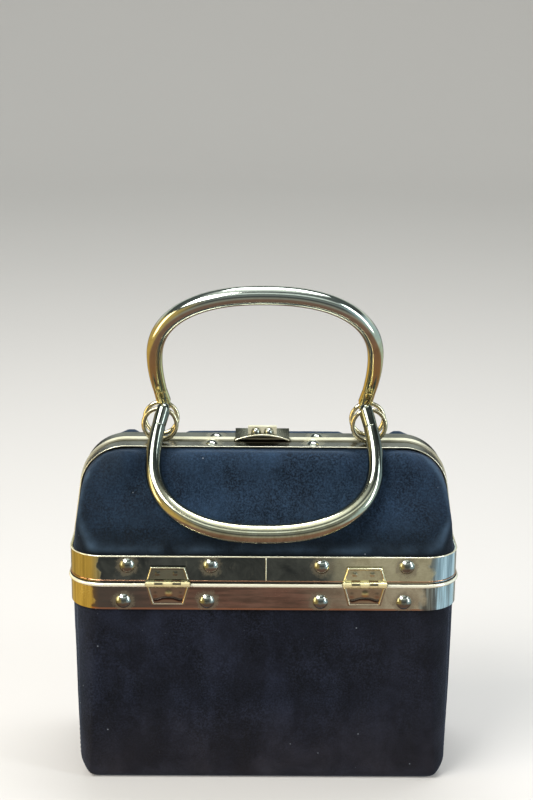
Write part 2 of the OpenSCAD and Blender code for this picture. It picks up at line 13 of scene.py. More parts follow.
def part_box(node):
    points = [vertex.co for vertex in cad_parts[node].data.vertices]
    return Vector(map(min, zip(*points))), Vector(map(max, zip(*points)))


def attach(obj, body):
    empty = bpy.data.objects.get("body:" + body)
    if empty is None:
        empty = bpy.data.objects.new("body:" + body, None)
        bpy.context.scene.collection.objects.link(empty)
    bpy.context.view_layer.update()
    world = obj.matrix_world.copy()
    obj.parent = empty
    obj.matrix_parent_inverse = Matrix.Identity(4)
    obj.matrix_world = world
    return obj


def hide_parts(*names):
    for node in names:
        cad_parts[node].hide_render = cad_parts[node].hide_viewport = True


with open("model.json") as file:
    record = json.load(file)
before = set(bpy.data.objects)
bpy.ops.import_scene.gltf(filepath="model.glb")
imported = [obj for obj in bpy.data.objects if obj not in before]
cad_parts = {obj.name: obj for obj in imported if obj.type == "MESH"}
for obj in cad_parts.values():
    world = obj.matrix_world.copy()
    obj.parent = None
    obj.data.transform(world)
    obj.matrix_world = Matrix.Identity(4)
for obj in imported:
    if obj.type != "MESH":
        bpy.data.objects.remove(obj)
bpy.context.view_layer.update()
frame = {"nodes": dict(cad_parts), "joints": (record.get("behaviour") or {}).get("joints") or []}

MM = 0.001


def low_mm(node):
    return np.array(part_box(node)[0]) / MM


def high_mm(node):
    return np.array(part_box(node)[1]) / MM


# ---------- sizes read from the frame, in millimetres ----------

HALF_W = -low_mm("front_band_left")[0]
HALF_D = -low_mm("front_band_left")[1]
LID_Z = low_mm("front_band_left")[2]
BAND_TOP = high_mm("front_band_left")[2]
PARTING_Z = high_mm("lower_band")[2]
KNEE_Z = low_mm("lower_band")[2]
FRAME_W = -low_mm("front_frame")[1]
FRAME_TOP = high_mm("front_frame")[2]
SEAM_X = high_mm("front_band_left")[0]
COVER_TOP = high_mm("lower_velvet")[2]
joint_at = {j["name"]: np.array(j["pos_m"]) / MM for j in frame["joints"]}

# ---------- sizes shared with the CAD design, in millimetres ----------

CORNER_R = 20
RIDGE_Z = FRAME_TOP - 0.3
SHOULDER_R = 26
END_LEAN = math.radians(8)
END_SET = 0.6
DOME_R = 120
SKIN = 1.02                     # depth of the velvet's face below the bands' face
VELVET_T = 1.1
CLASP_T = 1.1
PUFF_REACH = 4.5                # from a frame's edge to the crest of the velvet beside it
LINING_IN = 4.65                # depth of the lining's outer face
LINING_T = 0.7
WALL_SLOPE = 3 / KNEE_Z
END_FOOT_R = 15
SIDE_FOOT_R = 5
SHOULDER_Z = RIDGE_Z - SHOULDER_R
SHOULDER_X = (HALF_W - END_SET - (SHOULDER_Z - BAND_TOP) * math.tan(END_LEAN)
              - SHOULDER_R / math.cos(END_LEAN))


def dome_centre():
    """Centre, in Y and Z, of the arc from the band's top to the frame's front edge."""
    run = HALF_D - FRAME_W
    rise = RIDGE_Z - BAND_TOP
    chord = math.hypot(run, rise)
    depth = math.sqrt(DOME_R ** 2 - chord ** 2 / 4)
    return (-HALF_D + run / 2 + depth * rise / chord,
            BAND_TOP + rise / 2 - depth * run / chord)


DOME_Y, DOME_Z = dome_centre()


# ---------- mesh helpers ----------

def make_mesh(name, points, faces):
    """A new smooth-shaded object from points in millimetres."""
    mesh = bpy.data.meshes.new(name)
    mesh.from_pydata([tuple(p) for p in np.asarray(points, float) * MM], [], faces)
    mesh.validate()
    mesh.polygons.foreach_set("use_smooth", [True] * len(mesh.polygons))
    thing = bpy.data.objects.new(name, mesh)
    bpy.context.scene.collection.objects.link(thing)
    return thing


def grid_faces(rows, cols, wrap=False, start=0):
    """Quads of a grid whose point (row, col) is number start + row * cols + col."""
    faces = []
    for r in range(rows - 1):
        for c in range(cols if wrap else cols - 1):
            d = (c + 1) % cols
            a = start + r * cols
            faces.append((a + c, a + d, a + cols + d, a + cols + c))
    return faces


def turned(points):
    """The same points turned half a turn about the Z axis, for the back of the bag."""
    return np.asarray(points) * np.array([-1, -1, 1])


def paint(thing, name, values):
    """Stores one number per point, for a material to read."""
    layer = thing.data.attributes.new(name, "FLOAT", "POINT")
    layer.data.foreach_set("value", np.asarray(values, np.float32).ravel())


def thicken(thing, thickness):
    """Gives cloth its thickness in millimetres, inwards from its face."""
    layer = thing.modifiers.new("thickness", "SOLIDIFY")
    layer.thickness = thickness * MM
    layer.offset = -1
    layer.use_even_offset = True


WAVES = 7                       # sine waves that wander() adds up
WAVE_SWING = 3.2                # their usual sum, which wander() brings down to 1


def wander(points, size, seed):
    """Smooth wavy values between about -1 and 1, the same on every run."""
    rng = np.random.default_rng(seed)
    total = np.zeros(len(points))
    for _ in range(WAVES):
        way = rng.normal(size=3)
        way /= np.linalg.norm(way)
        total += np.sin(points @ way * (2 * math.pi / size) * rng.uniform(0.6, 1.6)
                        + rng.uniform(0, 6.28))
    return total / WAVE_SWING


def tube_mesh(name, path, radius, sides):
    """A capped round tube along a path in millimetres. radius is one number or one per point."""
    path = np.asarray(path, float)
    n = len(path)
    radius = np.broadcast_to(np.asarray(radius, float), (n,))
    tangent = np.gradient(path, axis=0)
    tangent /= np.linalg.norm(tangent, axis=1)[:, None]
    normal = np.zeros_like(path)
    # any direction that no path sets out along
    first = np.cross(tangent[0], [0.3, 1, 0.2])
    normal[0] = first / np.linalg.norm(first)
    for i in range(1, n):
        v = normal[i - 1] - tangent[i] * (normal[i - 1] @ tangent[i])
        normal[i] = v / np.linalg.norm(v)
    other = np.cross(tangent, normal)
    angle = np.arange(sides) * 2 * math.pi / sides
    ring = (np.cos(angle)[None, :, None] * normal[:, None, :]
            + np.sin(angle)[None, :, None] * other[:, None, :])
    points = path[:, None, :] + radius[:, None, None] * ring
    faces = grid_faces(n, sides, wrap=True)
    faces.append(tuple(range(sides - 1, -1, -1)))
    faces.append(tuple(range((n - 1) * sides, n * sides)))
    return make_mesh(name, points.reshape(-1, 3), faces)


def finish_piece(thing, body, material, replaced=()):
    """Gives a piece its material and body, and hides the CAD nodes that it stands for."""
    thing.data.materials.append(material)
    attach(thing, body)
    if replaced:
        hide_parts(*replaced)


# ---------- materials ----------

class Nodes:
    """Short calls that build a node tree. Each takes outputs or plain values for its sockets."""

    def __init__(self, tree, space):
        self.tree = tree
        self.coordinates = tree.nodes.new("ShaderNodeTexCoord").outputs[space]

    def join(self, output, socket):
        self.tree.links.new(output, socket)

    def fill(self, node, output, sockets):
        """Joins or sets each of a node's sockets, and returns one of its outputs."""
        for name, value in sockets.items():
            if isinstance(value, bpy.types.NodeSocket):
                self.join(value, node.inputs[name])
            else:
                node.inputs[name].default_value = value
        return node.outputs[output]

    def noise(self, scale, detail=3, roughness=0.5, distortion=0, vector=None):
        sockets = {"Vector": self.coordinates if vector is None else vector, "Scale": scale,
                   "Detail": detail, "Roughness": roughness, "Distortion": distortion}
        return self.fill(self.tree.nodes.new("ShaderNodeTexNoise"), "Fac", sockets)

    def fibres(self, squeeze, *numbers, turn=(0, 0, 0)):
        """Noise squeezed along each axis, which makes streaks. The numbers are noise()'s."""
        sockets = {"Vector": self.coordinates, "Scale": squeeze, "Rotation": turn}
        vector = self.fill(self.tree.nodes.new("ShaderNodeMapping"), 0, sockets)
        return self.noise(*numbers, vector=vector)

    def cells(self, scale):
        """Distance from the middles of small cells."""
        return self.fill(self.tree.nodes.new("ShaderNodeTexVoronoi"), "Distance",
                         {"Vector": self.coordinates, "Scale": scale})

    def span(self, value, low, high, out_low=0, out_high=1):
        """Maps low..high to out_low..out_high, held at the ends."""
        return self.fill(self.tree.nodes.new("ShaderNodeMapRange"), 0,
                         {"Value": value, "From Min": low, "From Max": high, "To Min": out_low,
                          "To Max": out_high})

    def math(self, kind, first, second=0.5):
        """The second value is not used where the kind of sum needs only one."""
        node = self.tree.nodes.new("ShaderNodeMath")
        node.operation = kind
        return self.fill(node, 0, {0: first, 1: second})

    def times(self, first, second):
        return self.math("MULTIPLY", first, second)

    def mix(self, share, first, second, kind="MIX"):
        """Mixes two colours, each a socket or an (r, g, b)."""
        node = self.tree.nodes.new("ShaderNodeMix")
        node.data_type = "RGBA"
        node.blend_type = kind
        first, second = [(*c, 1) if isinstance(c, tuple) else c for c in (first, second)]
        return self.fill(node, 2, {0: share, 6: first, 7: second})

    def axis(self, name):
        return self.fill(self.tree.nodes.new("ShaderNodeSeparateXYZ"), name,
                         {0: self.coordinates})

    def distance(self, place):
        """Distance from a point in metres."""
        node = self.tree.nodes.new("ShaderNodeVectorMath")
        node.operation = "DISTANCE"
        return self.fill(node, "Value", {0: self.coordinates, 1: place})

    def painted(self, name):
        """The numbers that paint() stored on a mesh under this name."""
        node = self.tree.nodes.new("ShaderNodeAttribute")
        node.attribute_name = name
        return node.outputs["Fac"]


class Surface(Nodes):
    """A material's nodes, which end in one Principled shader."""

    def __init__(self, name):
        self.material = bpy.data.materials.new(name)
        self.material.use_nodes = True
        self.material.node_tree.nodes.clear()
        super().__init__(self.material.node_tree, "Object")
        output = self.tree.nodes.new("ShaderNodeOutputMaterial")
        self.shader = self.tree.nodes.new("ShaderNodeBsdfPrincipled")
        self.join(self.shader.outputs[0], output.inputs[0])

    def finish(self, colour, rough, *bumps, **others):
        """Fills the shader's sockets, named with _ for a space, and returns the material.

        The bumps are chained layers of (height, strength, distance in metres).
        """
        for height, strength, distance in bumps:
            node = self.tree.nodes.new("ShaderNodeBump")
            sockets = {"Height": height, "Strength": strength, "Distance": distance}
            if "Normal" in others:
                sockets["Normal"] = others["Normal"]
            others["Normal"] = self.fill(node, 0, sockets)
        others = {name.replace("_", " "): value for name, value in others.items()}
        self.fill(self.shader, 0, {"Base Color": colour, "Roughness": rough, **others})
        return self.material


def scaled_by(parts, share):
    """A colour or vector with each part times share."""
    return tuple(share * part for part in parts)


def velvet_material(name, deep, lit, worn_and_highlight, painted_light_and_shade, patchy=0.0):
    """Short-pile velvet: brushed patches, fine pile grain, lint, and seams lighter from rubbing
    and from a painted highlight.

    deep, lit and worn are colours. shades are (axis, from, to, colour, share) layers of painted
    light and shade that shift the colour along an axis. patchy is how strongly the brushed patches
    darken it, up to 1.
    """
    n = Surface(name)
    pile = n.noise(2600, 2, 0.6)
    grain = n.noise(900, 3, 0.6)
    brushed = n.fibres((1, 1, 0.35), 55, 4, 0.6, 0.6)
    streaks = n.fibres((1, 1, 0.14), 210, 3, 0.55)
    smudge = n.noise(24, 3, 0.5, 1.2)
    lay = n.math("ADD", n.times(brushed, 0.6), n.times(streaks, 0.4))
    colour = n.mix(n.span(lay, 0.41, 0.60), deep, lit)
    colour = n.mix(n.span(smudge, 0.48, 0.68, 0, 0.55), colour, scaled_by(lit, 1.9))
    colour = n.mix(n.span(grain, 0.42, 0.68, 0, 0.8), colour, scaled_by(lit, 2.6))
    colour = n.mix(n.span(pile, 0.52, 0.66, 0, 0.6), colour, scaled_by(lit, 2.6))
    # Painted light and shade: each layer darkens or lightens the pile towards one end of an axis.
    for axis, start, end, shade, share in painted_light_and_shade:
        edge = n.span(n.axis(axis), start, end)
        cloudy = n.times(edge, n.span(smudge, 0.25, 0.75, 0.5, 1))
        colour = n.mix(n.times(cloudy, share), colour, shade)
    patch = n.fibres((1, 1, 0.8), 44, 5, 0.66, 0.5)
    colour = n.mix(n.span(patch, 0.62, 0.40, 0, patchy), colour, (0.42, 0.38, 0.37), "MULTIPLY")
    # Painted shade: the end faces of a lid, past the crease, are darkened.
    colour = n.mix(n.times(n.painted("end"), 0.75), colour, scaled_by(deep, 0.8))
    # The seams' lighter colour is rubbed pile and a painted highlight along the crease.
    wear_and_highlight = n.times(n.painted("seam"), n.span(n.noise(60, 4), 0.32, 0.6))
    colour = n.mix(n.times(wear_and_highlight, 0.85), colour, worn_and_highlight)
    speck = n.span(n.cells(170), 0.085, 0.045)
    rare = n.span(n.noise(130, 1), 0.58, 0.62)
    lint = n.times(n.times(speck, rare), 0.55)
    colour = n.mix(lint, colour, (0.32, 0.36, 0.42))
    return n.finish(colour, n.span(brushed, 0.3, 0.7, 0.72, 0.98), (lay, 0.35, 0.0012),
                    (grain, 0.5, 0.0005), (pile, 0.6, 0.00018), Specular_IOR_Level=0.10,
                    Sheen_Weight=0.20, Sheen_Roughness=0.45, Sheen_Tint=(0.45, 0.60, 0.85, 1))


def brass_material(name, bright, dull, gloss=(0.10, 0.30), scratch_way=(1, 1, 14),
                   spots=(), streaks=None, metal=1.0):
    """Polished pale brass: fine scratches, cloudy tarnish and dull halos round fixings.

    gloss is the roughness from clear to tarnished, scratch_way squeezes the scratches along each
    axis, spots are the fixings' places and streaks returns another colour and metal share, which
    paint reflections, highlights and shade into the brass.
    """
    n = Surface(name)
    cloud = n.noise(90, 5, 0.6, 0.4)
    fine = n.fibres(scratch_way, 420, 3, 0.6)
    hair = n.fibres(scaled_by(scratch_way, 3), 700, 2)
    pits = n.span(n.cells(420), 0.10, 0.04)
    tarnish = n.span(cloud, 0.42, 0.74)
    colour = n.mix(tarnish, bright, dull)
    colour = n.mix(n.span(fine, 0.5, 0.8, 0, 0.35), colour, scaled_by(dull, 0.6))
    if streaks:
        colour, metal = streaks(n, colour)
    rough = n.math("ADD", n.span(cloud, 0.35, 0.75, gloss[0], gloss[1]),
                   n.span(fine, 0.5, 0.75, 0, 0.10))
    if spots:
        nearest = None
        for place in spots:
            away = n.distance(place)
            nearest = away if nearest is None else n.math("MINIMUM", nearest, away)
        ragged = n.math("ADD", nearest,
                        n.span(n.noise(380, 4, 0.7), 0.3, 0.7, -0.0016, 0.0016))
        halo = n.times(n.span(ragged, 0.0072, 0.0052), 0.6)
        colour = n.mix(halo, colour, (0.52, 0.49, 0.38))
        rough = n.math("ADD", rough, n.times(halo, 0.28))
    colour = n.mix(n.times(pits, 0.35), colour, scaled_by(dull, 0.35))
    return n.finish(colour, rough, (cloud, 0.10, 0.0006), (fine, 0.10, 0.00006),
                    (hair, 0.08, 0.00003), (n.math("SUBTRACT", 1.0, pits), 0.15, 0.00008),
                    Metallic=metal)


def satin_material():
    """Dark satin lining with a fine twill and soft colour shifts."""
    n = Surface("satin_lining")
    cloud = n.noise(40, 3, 0.5, 0.8)
    twill = n.fibres((1, 1, 6), 1500, 1, turn=(0.6, 0.4, 0.7))
    colour = n.mix(n.span(cloud, 0.35, 0.65), (0.012, 0.016, 0.030), (0.028, 0.036, 0.062))
    colour = n.mix(n.span(twill, 0.4, 0.6, 0, 0.35), colour, (0.05, 0.06, 0.09))
    return n.finish(colour, n.span(cloud, 0.3, 0.7, 0.30, 0.48), (cloud, 0.2, 0.001),
                    (twill, 0.35, 0.00008), Specular_IOR_Level=0.6, Sheen_Weight=0.2,
                    Sheen_Roughness=0.3, Sheen_Tint=(0.6, 0.7, 0.9, 1))


def board_material():
    """Grey-brown case board with short fibres."""
    n = Surface("case_board")
    fibre = n.fibres((1, 1, 5), 500, 4, 0.7, turn=(0.3, 0.2, 0))
    cloud = n.noise(60, 3)
    colour = n.mix(n.span(fibre, 0.35, 0.65), (0.16, 0.12, 0.08), (0.30, 0.24, 0.17))
    colour = n.mix(n.span(cloud, 0.4, 0.7, 0, 0.4), colour, (0.12, 0.09, 0.06))
    return n.finish(colour, n.span(fibre, 0.3, 0.7, 0.75, 0.95), (fibre, 0.4, 0.0002),
                    (cloud, 0.2, 0.0005))


def thread_material():
    """Dark blue twisted thread."""
    n = Surface("stitch_thread")
    twist = n.fibres((1, 1, 3), 2400, 2, turn=(0.5, 0.5, 0))
    colour = n.mix(n.span(twist, 0.4, 0.6), (0.012, 0.017, 0.032), (0.05, 0.07, 0.11))
    return n.finish(colour, n.span(twist, 0.3, 0.7, 0.5, 0.8), (twist, 0.5, 0.0001),
                    Sheen_Weight=0.3, Sheen_Roughness=0.4)


def stage_material():
    """The pale floor and wall, with a faint cloudiness."""
    n = Surface("stage_pale")
    cloud = n.noise(2.5, 3)
    tone = (0.49, 0.475, 0.46)
    colour = n.mix(n.span(cloud, 0.3, 0.7, 0, 0.25), tone, scaled_by(tone, 0.96))
    return n.finish(colour, 0.85, Specular_IOR_Level=0.2, Emission_Color=(0.85, 0.84, 0.82, 1),
                    Emission_Strength=0.16)


HEAD_GAP = 0.008                # metres along X that part two rivet heads


def fixing_spots(nodes):
    """Centres, in metres, of the separate rivet heads in each named CAD node."""
    spots = []
    for name in nodes:
        points = np.array([v.co for v in frame["nodes"][name].data.vertices])
        points = points[np.argsort(points[:, 0])]
        breaks = np.where(np.diff(points[:, 0]) > HEAD_GAP)[0] + 1
        for group in np.split(points, breaks):
            for side in (-1, 1):
                head = group[np.sign(group[:, 1]) == side]
                if len(head):
                    spots.append(tuple((head.min(0) + head.max(0)) / 2))
    return spots


def along_band(n):
    """Place along X with a ragged edge, and upright brushed lines, for a band's tones."""
    ragged = n.span(n.noise(130, 3), 0.3, 0.7, -0.0025, 0.0025)
    brushed = n.fibres((1, 1, 0.05), 160, 3, 0.7)
    return n.math("ADD", n.axis("X"), ragged), brushed


def corner_reflections(n, colour, x, brushed, left, golds, right, silvers):
    """A golden painted reflection left of one place along X and a silvery one right of another,
    both in brushed lines.
    """
    golden_reflection = n.mix(n.span(brushed, 0.40, 0.60), *golds)
    colour = n.mix(n.times(n.span(x, *left), 0.9), colour, golden_reflection)
    bluish_reflection = n.mix(n.span(brushed, 0.42, 0.58), *silvers)
    return n.mix(n.times(n.span(x, *right), 0.9), colour, bluish_reflection)


def band_reflections(n, colour):
    """The upper bands: a painted dark reflection with scuffs to the middle, pale beyond, with
    painted golden and bluish reflections at the corners.
    """
    x, brushed = along_band(n)
    # Painted dark reflection over the left and middle of the band, with real scuffs in it.
    dark = n.times(n.span(x, -0.0935, -0.0920), n.span(x, 0.052, 0.032))
    dark_reflection = n.mix(n.span(n.noise(70, 6, 0.7, 0.6), 0.36, 0.66),
                  (0.030, 0.042, 0.055), (0.130, 0.150, 0.155))
    scuff = n.span(n.fibres((1, 1, 0.5), 260, 4, 0.7), 0.60, 0.76, 0, 0.6)
    dark_reflection = n.mix(scuff, dark_reflection, (0.28, 0.29, 0.26))
    colour = n.mix(n.times(dark, 0.96), colour, dark_reflection)
    return corner_reflections(n, colour, x, brushed,
                        (-0.0920, -0.0935), ((0.40, 0.33, 0.13), (0.68, 0.58, 0.27)),
                        (0.0935, 0.0955), ((0.30, 0.38, 0.42), (0.86, 0.97, 1.0))), 1.0


def lower_band_reflections_and_shade(n, colour):
    """The lower band: a coppery painted reflection to the middle, with a painted highlight on the
    bead and a painted shade line at the parting.
    """
    x, brushed = along_band(n)
    z = n.axis("Z")
    dark = n.times(n.span(x, -0.0960, -0.0945), n.span(x, -0.045, -0.075))
    # Painted warm reflection: coppery in fine lines towards the middle.
    lines = n.fibres((0.10, 1, 1), 430, 4, 0.6)
    warm_reflection = n.mix(n.span(lines, 0.38, 0.62), (0.17, 0.080, 0.067), (0.38, 0.185, 0.15))
    colour = n.mix(n.times(n.span(x, 0.075, 0.02), 0.9), colour, warm_reflection)
    # Painted dark reflection over the left and middle.
    colour = n.mix(n.times(dark, 0.8), colour, (0.15, 0.14, 0.13))
    # Painted warm reflection: a coppery line along the foot of the band.
    foot = (KNEE_Z + 0.9) * MM
    colour = n.mix(n.span(z, foot + 0.0003, foot, 0, 0.85), colour, (0.62, 0.28, 0.17))
    # Painted golden and bluish reflections at the corners.
    colour = corner_reflections(n, colour, x, brushed,
                          (-0.0945, -0.0960), ((0.60, 0.50, 0.20), (0.94, 0.81, 0.38)),
                          (0.089, 0.092), ((0.16, 0.17, 0.17), (0.80, 0.95, 0.98)))
    parting = PARTING_Z * MM
    # Painted highlight: a pale bead that is also made partly non-metal.
    bead = n.span(z, parting - 0.0027, parting - 0.0017)
    colour = n.mix(bead, colour, (1.0, 0.97, 0.78))
    # Painted shade: the band's top face at the parting is darkened.
    line = n.span(z, parting - 0.00022, parting - 0.00012)
    return n.mix(line, colour, (0.05, 0.045, 0.035)), n.span(bead, 0, 1, 1, 0.5)


def hinge_reflections_and_shade(n, colour):
    """Hinge leaves: a painted dark reflection on the left, pale on the right, a coppery painted
    reflection below, with painted highlights on the rims.

    The knuckles have a golden painted highlight, with painted shade in the slots between them.
    """
    x = n.axis("X")
    # Painted dark reflection on the left.
    colour = n.mix(n.span(x, 0.02, -0.02, 0, 0.8), colour, (0.17, 0.175, 0.15))
    # Painted warm reflection on the lower leaves.
    low = n.span(n.axis("Z"), (PARTING_Z - 1.5) * MM, (PARTING_Z - 3) * MM)
    colour = n.mix(n.times(low, 0.75), colour, (0.42, 0.24, 0.17))
    # Painted shade along the pressed wave.
    colour = n.mix(n.span(n.painted("wave"), 0.2, 0.6, 0, 0.85), colour, (0.035, 0.032, 0.03))
    # Painted highlight on the boss.
    colour = n.mix(n.span(n.painted("boss"), 0.2, 0.7, 0, 0.9), colour, (1.0, 0.84, 0.42))
    off = None
    for side in ("left", "right"):
        low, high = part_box(f"front_{side}_hinge_lid_leaf")
        away = n.math("ABSOLUTE", n.math("SUBTRACT", x, (low[0] + high[0]) / 2))
        off = away if off is None else n.math("MINIMUM", off, away)
    rise = n.math("SUBTRACT", n.axis("Z"), PARTING_Z * MM)
    # Painted highlight on the knuckles, which are also made partly non-metal.
    barrel = n.span(n.math("ABSOLUTE", rise), 0.0019, 0.0015)
    colour = n.mix(barrel, colour, (0.98, 0.86, 0.48))
    # Painted shade in the slots between the knuckles.
    slot = n.times(n.span(off, 0.0026, 0.0029), n.span(off, 0.0076, 0.0073))
    slot = n.times(slot, n.span(rise, 0.0002, 0.0004))
    slot = n.times(slot, n.span(rise, 0.0016, 0.0014))
    colour = n.mix(n.times(slot, 0.92), colour, (0.05, 0.045, 0.035))
    # Painted highlight on the pressed rims.
    colour = n.mix(n.span(n.painted("rim"), 0.35, 0.8), colour, (0.96, 0.90, 0.66))
    return colour, n.span(barrel, 0, 1, 1, 0.6)


def hanging_reflections(n, colour):
    """The hanging handle: a painted dark reflection on the arms near the rings, pale brass round
    the bend.
    """
    # Painted dark reflection on the upper arms.
    dark_reflection = n.mix(n.span(n.noise(42, 4, 0.6), 0.38, 0.62),
                  (0.09, 0.105, 0.10), (0.20, 0.225, 0.20))
    return n.mix(n.span(n.axis("Z"), 0.164, 0.184, 0, 0.9), colour, dark_reflection), 1.0


def upright_reflections(n, colour):
    """The upright handle: a golden painted reflection on the legs, a bluish one over the top."""
    # Painted reflections: bluish over the top, golden on the legs.
    colour = n.mix(n.span(n.axis("Z"), 0.250, 0.275, 0, 0.75), colour, (0.50, 0.56, 0.54))
    return n.mix(n.span(n.axis("Z"), 0.258, 0.236, 0, 0.75), colour, (0.80, 0.66, 0.28)), 1.0


# Painted shade on the lid's velvet: darker towards its left end, its right end and its foot.
velvet_lid = velvet_material(
    "velvet_lid", (0.0020, 0.0052, 0.0106), (0.0092, 0.0192, 0.0360), (0.040, 0.068, 0.105),
    (("X", -0.045, -0.100, (0.0036, 0.0060, 0.0092), 0.85),
     ("X", 0.070, 0.108, (0.0046, 0.0088, 0.0150), 0.6),
     ("Z", 0.163, 0.142, (0.0040, 0.0078, 0.0103), 0.8),
     ("Z", 0.154, 0.143, (0.0016, 0.0028, 0.0040), 0.85)), 0.35)
# Painted light on the box's velvet: lighter towards its foot and towards its right.
velvet_box = velvet_material(
    "velvet_box", (0.0013, 0.0016, 0.0030), (0.0068, 0.0082, 0.0150), (0.036, 0.042, 0.062),
    (("Z", 0.050, 0.004, (0.0255, 0.0215, 0.0250), 0.8),
     ("X", 0.030, 0.105, (0.0145, 0.0140, 0.0195), 0.6)), 0.8)
brass = brass_material("brass", (0.80, 0.72, 0.50), (0.50, 0.44, 0.27))
# Rivet brass darkened to a teal grey: a painted dark reflection.
brass_rivet = brass_material("brass_rivet", (0.42, 0.45, 0.41), (0.24, 0.23, 0.18), (0.08, 0.28))
# Pale, partly non-metal brass whose brightness is a painted highlight.
brass_highlight = brass_material("brass_highlight", (1.0, 0.97, 0.76), (0.84, 0.79, 0.56), (0.10, 0.24),
                              metal=0.6)
# Coppery brass whose colour is a painted warm reflection.
brass_warm_reflection = brass_material("brass_warm_reflection", (0.66, 0.36, 0.22), (0.42, 0.22, 0.13), (0.12, 0.3))
brass_hanging, brass_upright = [
    brass_material(name, (0.74, 0.72, 0.54), (0.50, 0.46, 0.30), (0.06, 0.18), (6, 1, 1),
                   streaks=streaks)
    for name, streaks in (("brass_hanging", hanging_reflections), ("brass_upright", upright_reflections))]
# Frame brass darkened almost to black: a painted dark reflection.
brass_frame = brass_material(
    "brass_frame", (0.095, 0.098, 0.078), (0.06, 0.06, 0.045), (0.12, 0.30), (1, 8, 8),
    fixing_spots(["front_frame_rivets", "back_frame_rivets"]))
brass_band_upper = brass_material(
    "brass_band_upper", (0.96, 0.92, 0.68), (0.70, 0.66, 0.46), (0.08, 0.24), (1, 1, 16),
    fixing_spots(["front_band_rivets", "back_band_rivets"]), band_reflections)
brass_band_lower = brass_material(
    "brass_band_lower", (0.92, 0.84, 0.66), (0.62, 0.52, 0.38), (0.10, 0.28), (1, 1, 16),
    fixing_spots(["lower_rivets"]), lower_band_reflections_and_shade)
brass_hinge = brass_material("brass_hinge", (0.90, 0.84, 0.58), (0.54, 0.49, 0.32), (0.10, 0.28),
                             (1, 1, 10), streaks=hinge_reflections_and_shade)
brass_clasp = brass_material("brass_clasp", (0.34, 0.34, 0.26), (0.20, 0.20, 0.14), (0.14, 0.34),
                             (8, 1, 1))
aged_brass = brass_material("aged_brass", (0.30, 0.26, 0.17), (0.10, 0.085, 0.06), (0.3, 0.55))
satin = satin_material()
board = board_material()
thread = thread_material()


# ---------- lid shells ----------

def smooth_max(a, b, reach):
    h = np.maximum(reach - np.abs(a - b), 0) / reach
    return np.maximum(a, b) + h * h * reach / 4


def plan_depth(x, y, inset):
    """Signed distance outside the rounded plan outline."""
    qx = np.abs(x) - (HALF_W - CORNER_R)
    qy = np.abs(y) - (HALF_D - CORNER_R)
    out = np.hypot(np.maximum(qx, 0), np.maximum(qy, 0)) + np.minimum(np.maximum(qx, qy), 0)
    return out - (CORNER_R - inset)


def shoulder_depth(x, z, inset):
    """Signed distance outside the lid's front view outline."""
    dx = np.abs(x) - SHOULDER_X
    dz = z - SHOULDER_Z
    angle = np.arctan2(dz, dx)
    leaning = dx * math.cos(END_LEAN) + dz * math.sin(END_LEAN)
    on_arc = (angle > END_LEAN) & (angle < math.pi / 2)
    return np.where(on_arc, np.hypot(dx, dz), np.maximum(dz, leaning)) - (SHOULDER_R - inset)


def dome_depth(y, z, inset):
    return np.hypot(y - DOME_Y, z - DOME_Z) - (DOME_R - inset)


def lid_depth(points, inset):
    """Signed distance outside a lid, its edges softened most at the two ends."""
    x, y, z = points.T
    ends = smooth_max(plan_depth(x, y, inset), shoulder_depth(x, z, inset), 1.5)
    soft = 0.8 + 3.4 * np.clip((np.abs(x) - 66) / 22, 0, 1)
    return smooth_max(ends, dome_depth(y, z, inset), soft)


def crease(points, inset):
    """Distance from the line where a lid's domed face meets its end."""
    x, y, z = points.T
    ends = np.maximum(plan_depth(x, y, inset), shoulder_depth(x, z, inset))
    return ends - dome_depth(y, z, inset)


def slope_of(depth, points, inset):
    step = 0.05
    grad = np.stack([depth(points + step * np.eye(3)[i], inset)
                     - depth(points - step * np.eye(3)[i], inset) for i in range(3)], 1)
    return grad / np.linalg.norm(grad, axis=1)[:, None]


FARTHEST = 150.0                # longer than any ray inside a lid
HALVINGS = 36                   # steps that close in on the point where a ray meets the shell


def lid_shell(inset, edge_y, rows, fan, middle):
    """Points of a lid's shell as a grid: rows go from the foot up to the split edge.

    Each column is a fan of rays in one upright plane. fan columns are at each end and middle
    columns are between them.
    """
    turn_x = SHOULDER_X - 1
    swing = np.linspace(math.radians(1.2), math.pi / 2, fan, endpoint=False)
    xs = np.concatenate([np.full(fan, -turn_x), np.linspace(-turn_x, turn_x, middle),
                         np.full(fan, turn_x)])
    phi = np.concatenate([math.pi - swing, np.full(middle, math.pi / 2), swing[::-1]])
    psi = np.linspace(0, math.pi / 2, rows)
    phi_grid, psi_grid = np.meshgrid(phi, psi)
    x_grid = np.broadcast_to(xs, phi_grid.shape)
    start = np.stack([x_grid, np.full_like(phi_grid, edge_y), np.full_like(phi_grid, LID_Z)], -1)
    way = np.stack([np.cos(phi_grid), -np.sin(phi_grid) * np.cos(psi_grid),
                    np.sin(phi_grid) * np.sin(psi_grid)], -1)
    start, way = start.reshape(-1, 3), way.reshape(-1, 3)
    near, far = np.zeros(len(start)), np.full(len(start), FARTHEST)
    for _ in range(HALVINGS):
        half = (near + far) / 2
        inside = lid_depth(start + way * half[:, None], inset) < 0
        near, far = np.where(inside, half, near), np.where(inside, far, half)
    return start + way * near[:, None], rows, len(phi)


ARMS_PUFF = 2.0                 # the velvet's bulge beside a frame where the arms pass
MIDDLE_PUFF = 5.2               # how much more it bulges between the arms
SHOULDER_PUFF = 5.8             # and at the shoulders


def ramp(value, start, end):
    """0 up to start and 1 from end on, which may be the lower of the two."""
    return np.clip((value - start) / (end - start), 0, 1)


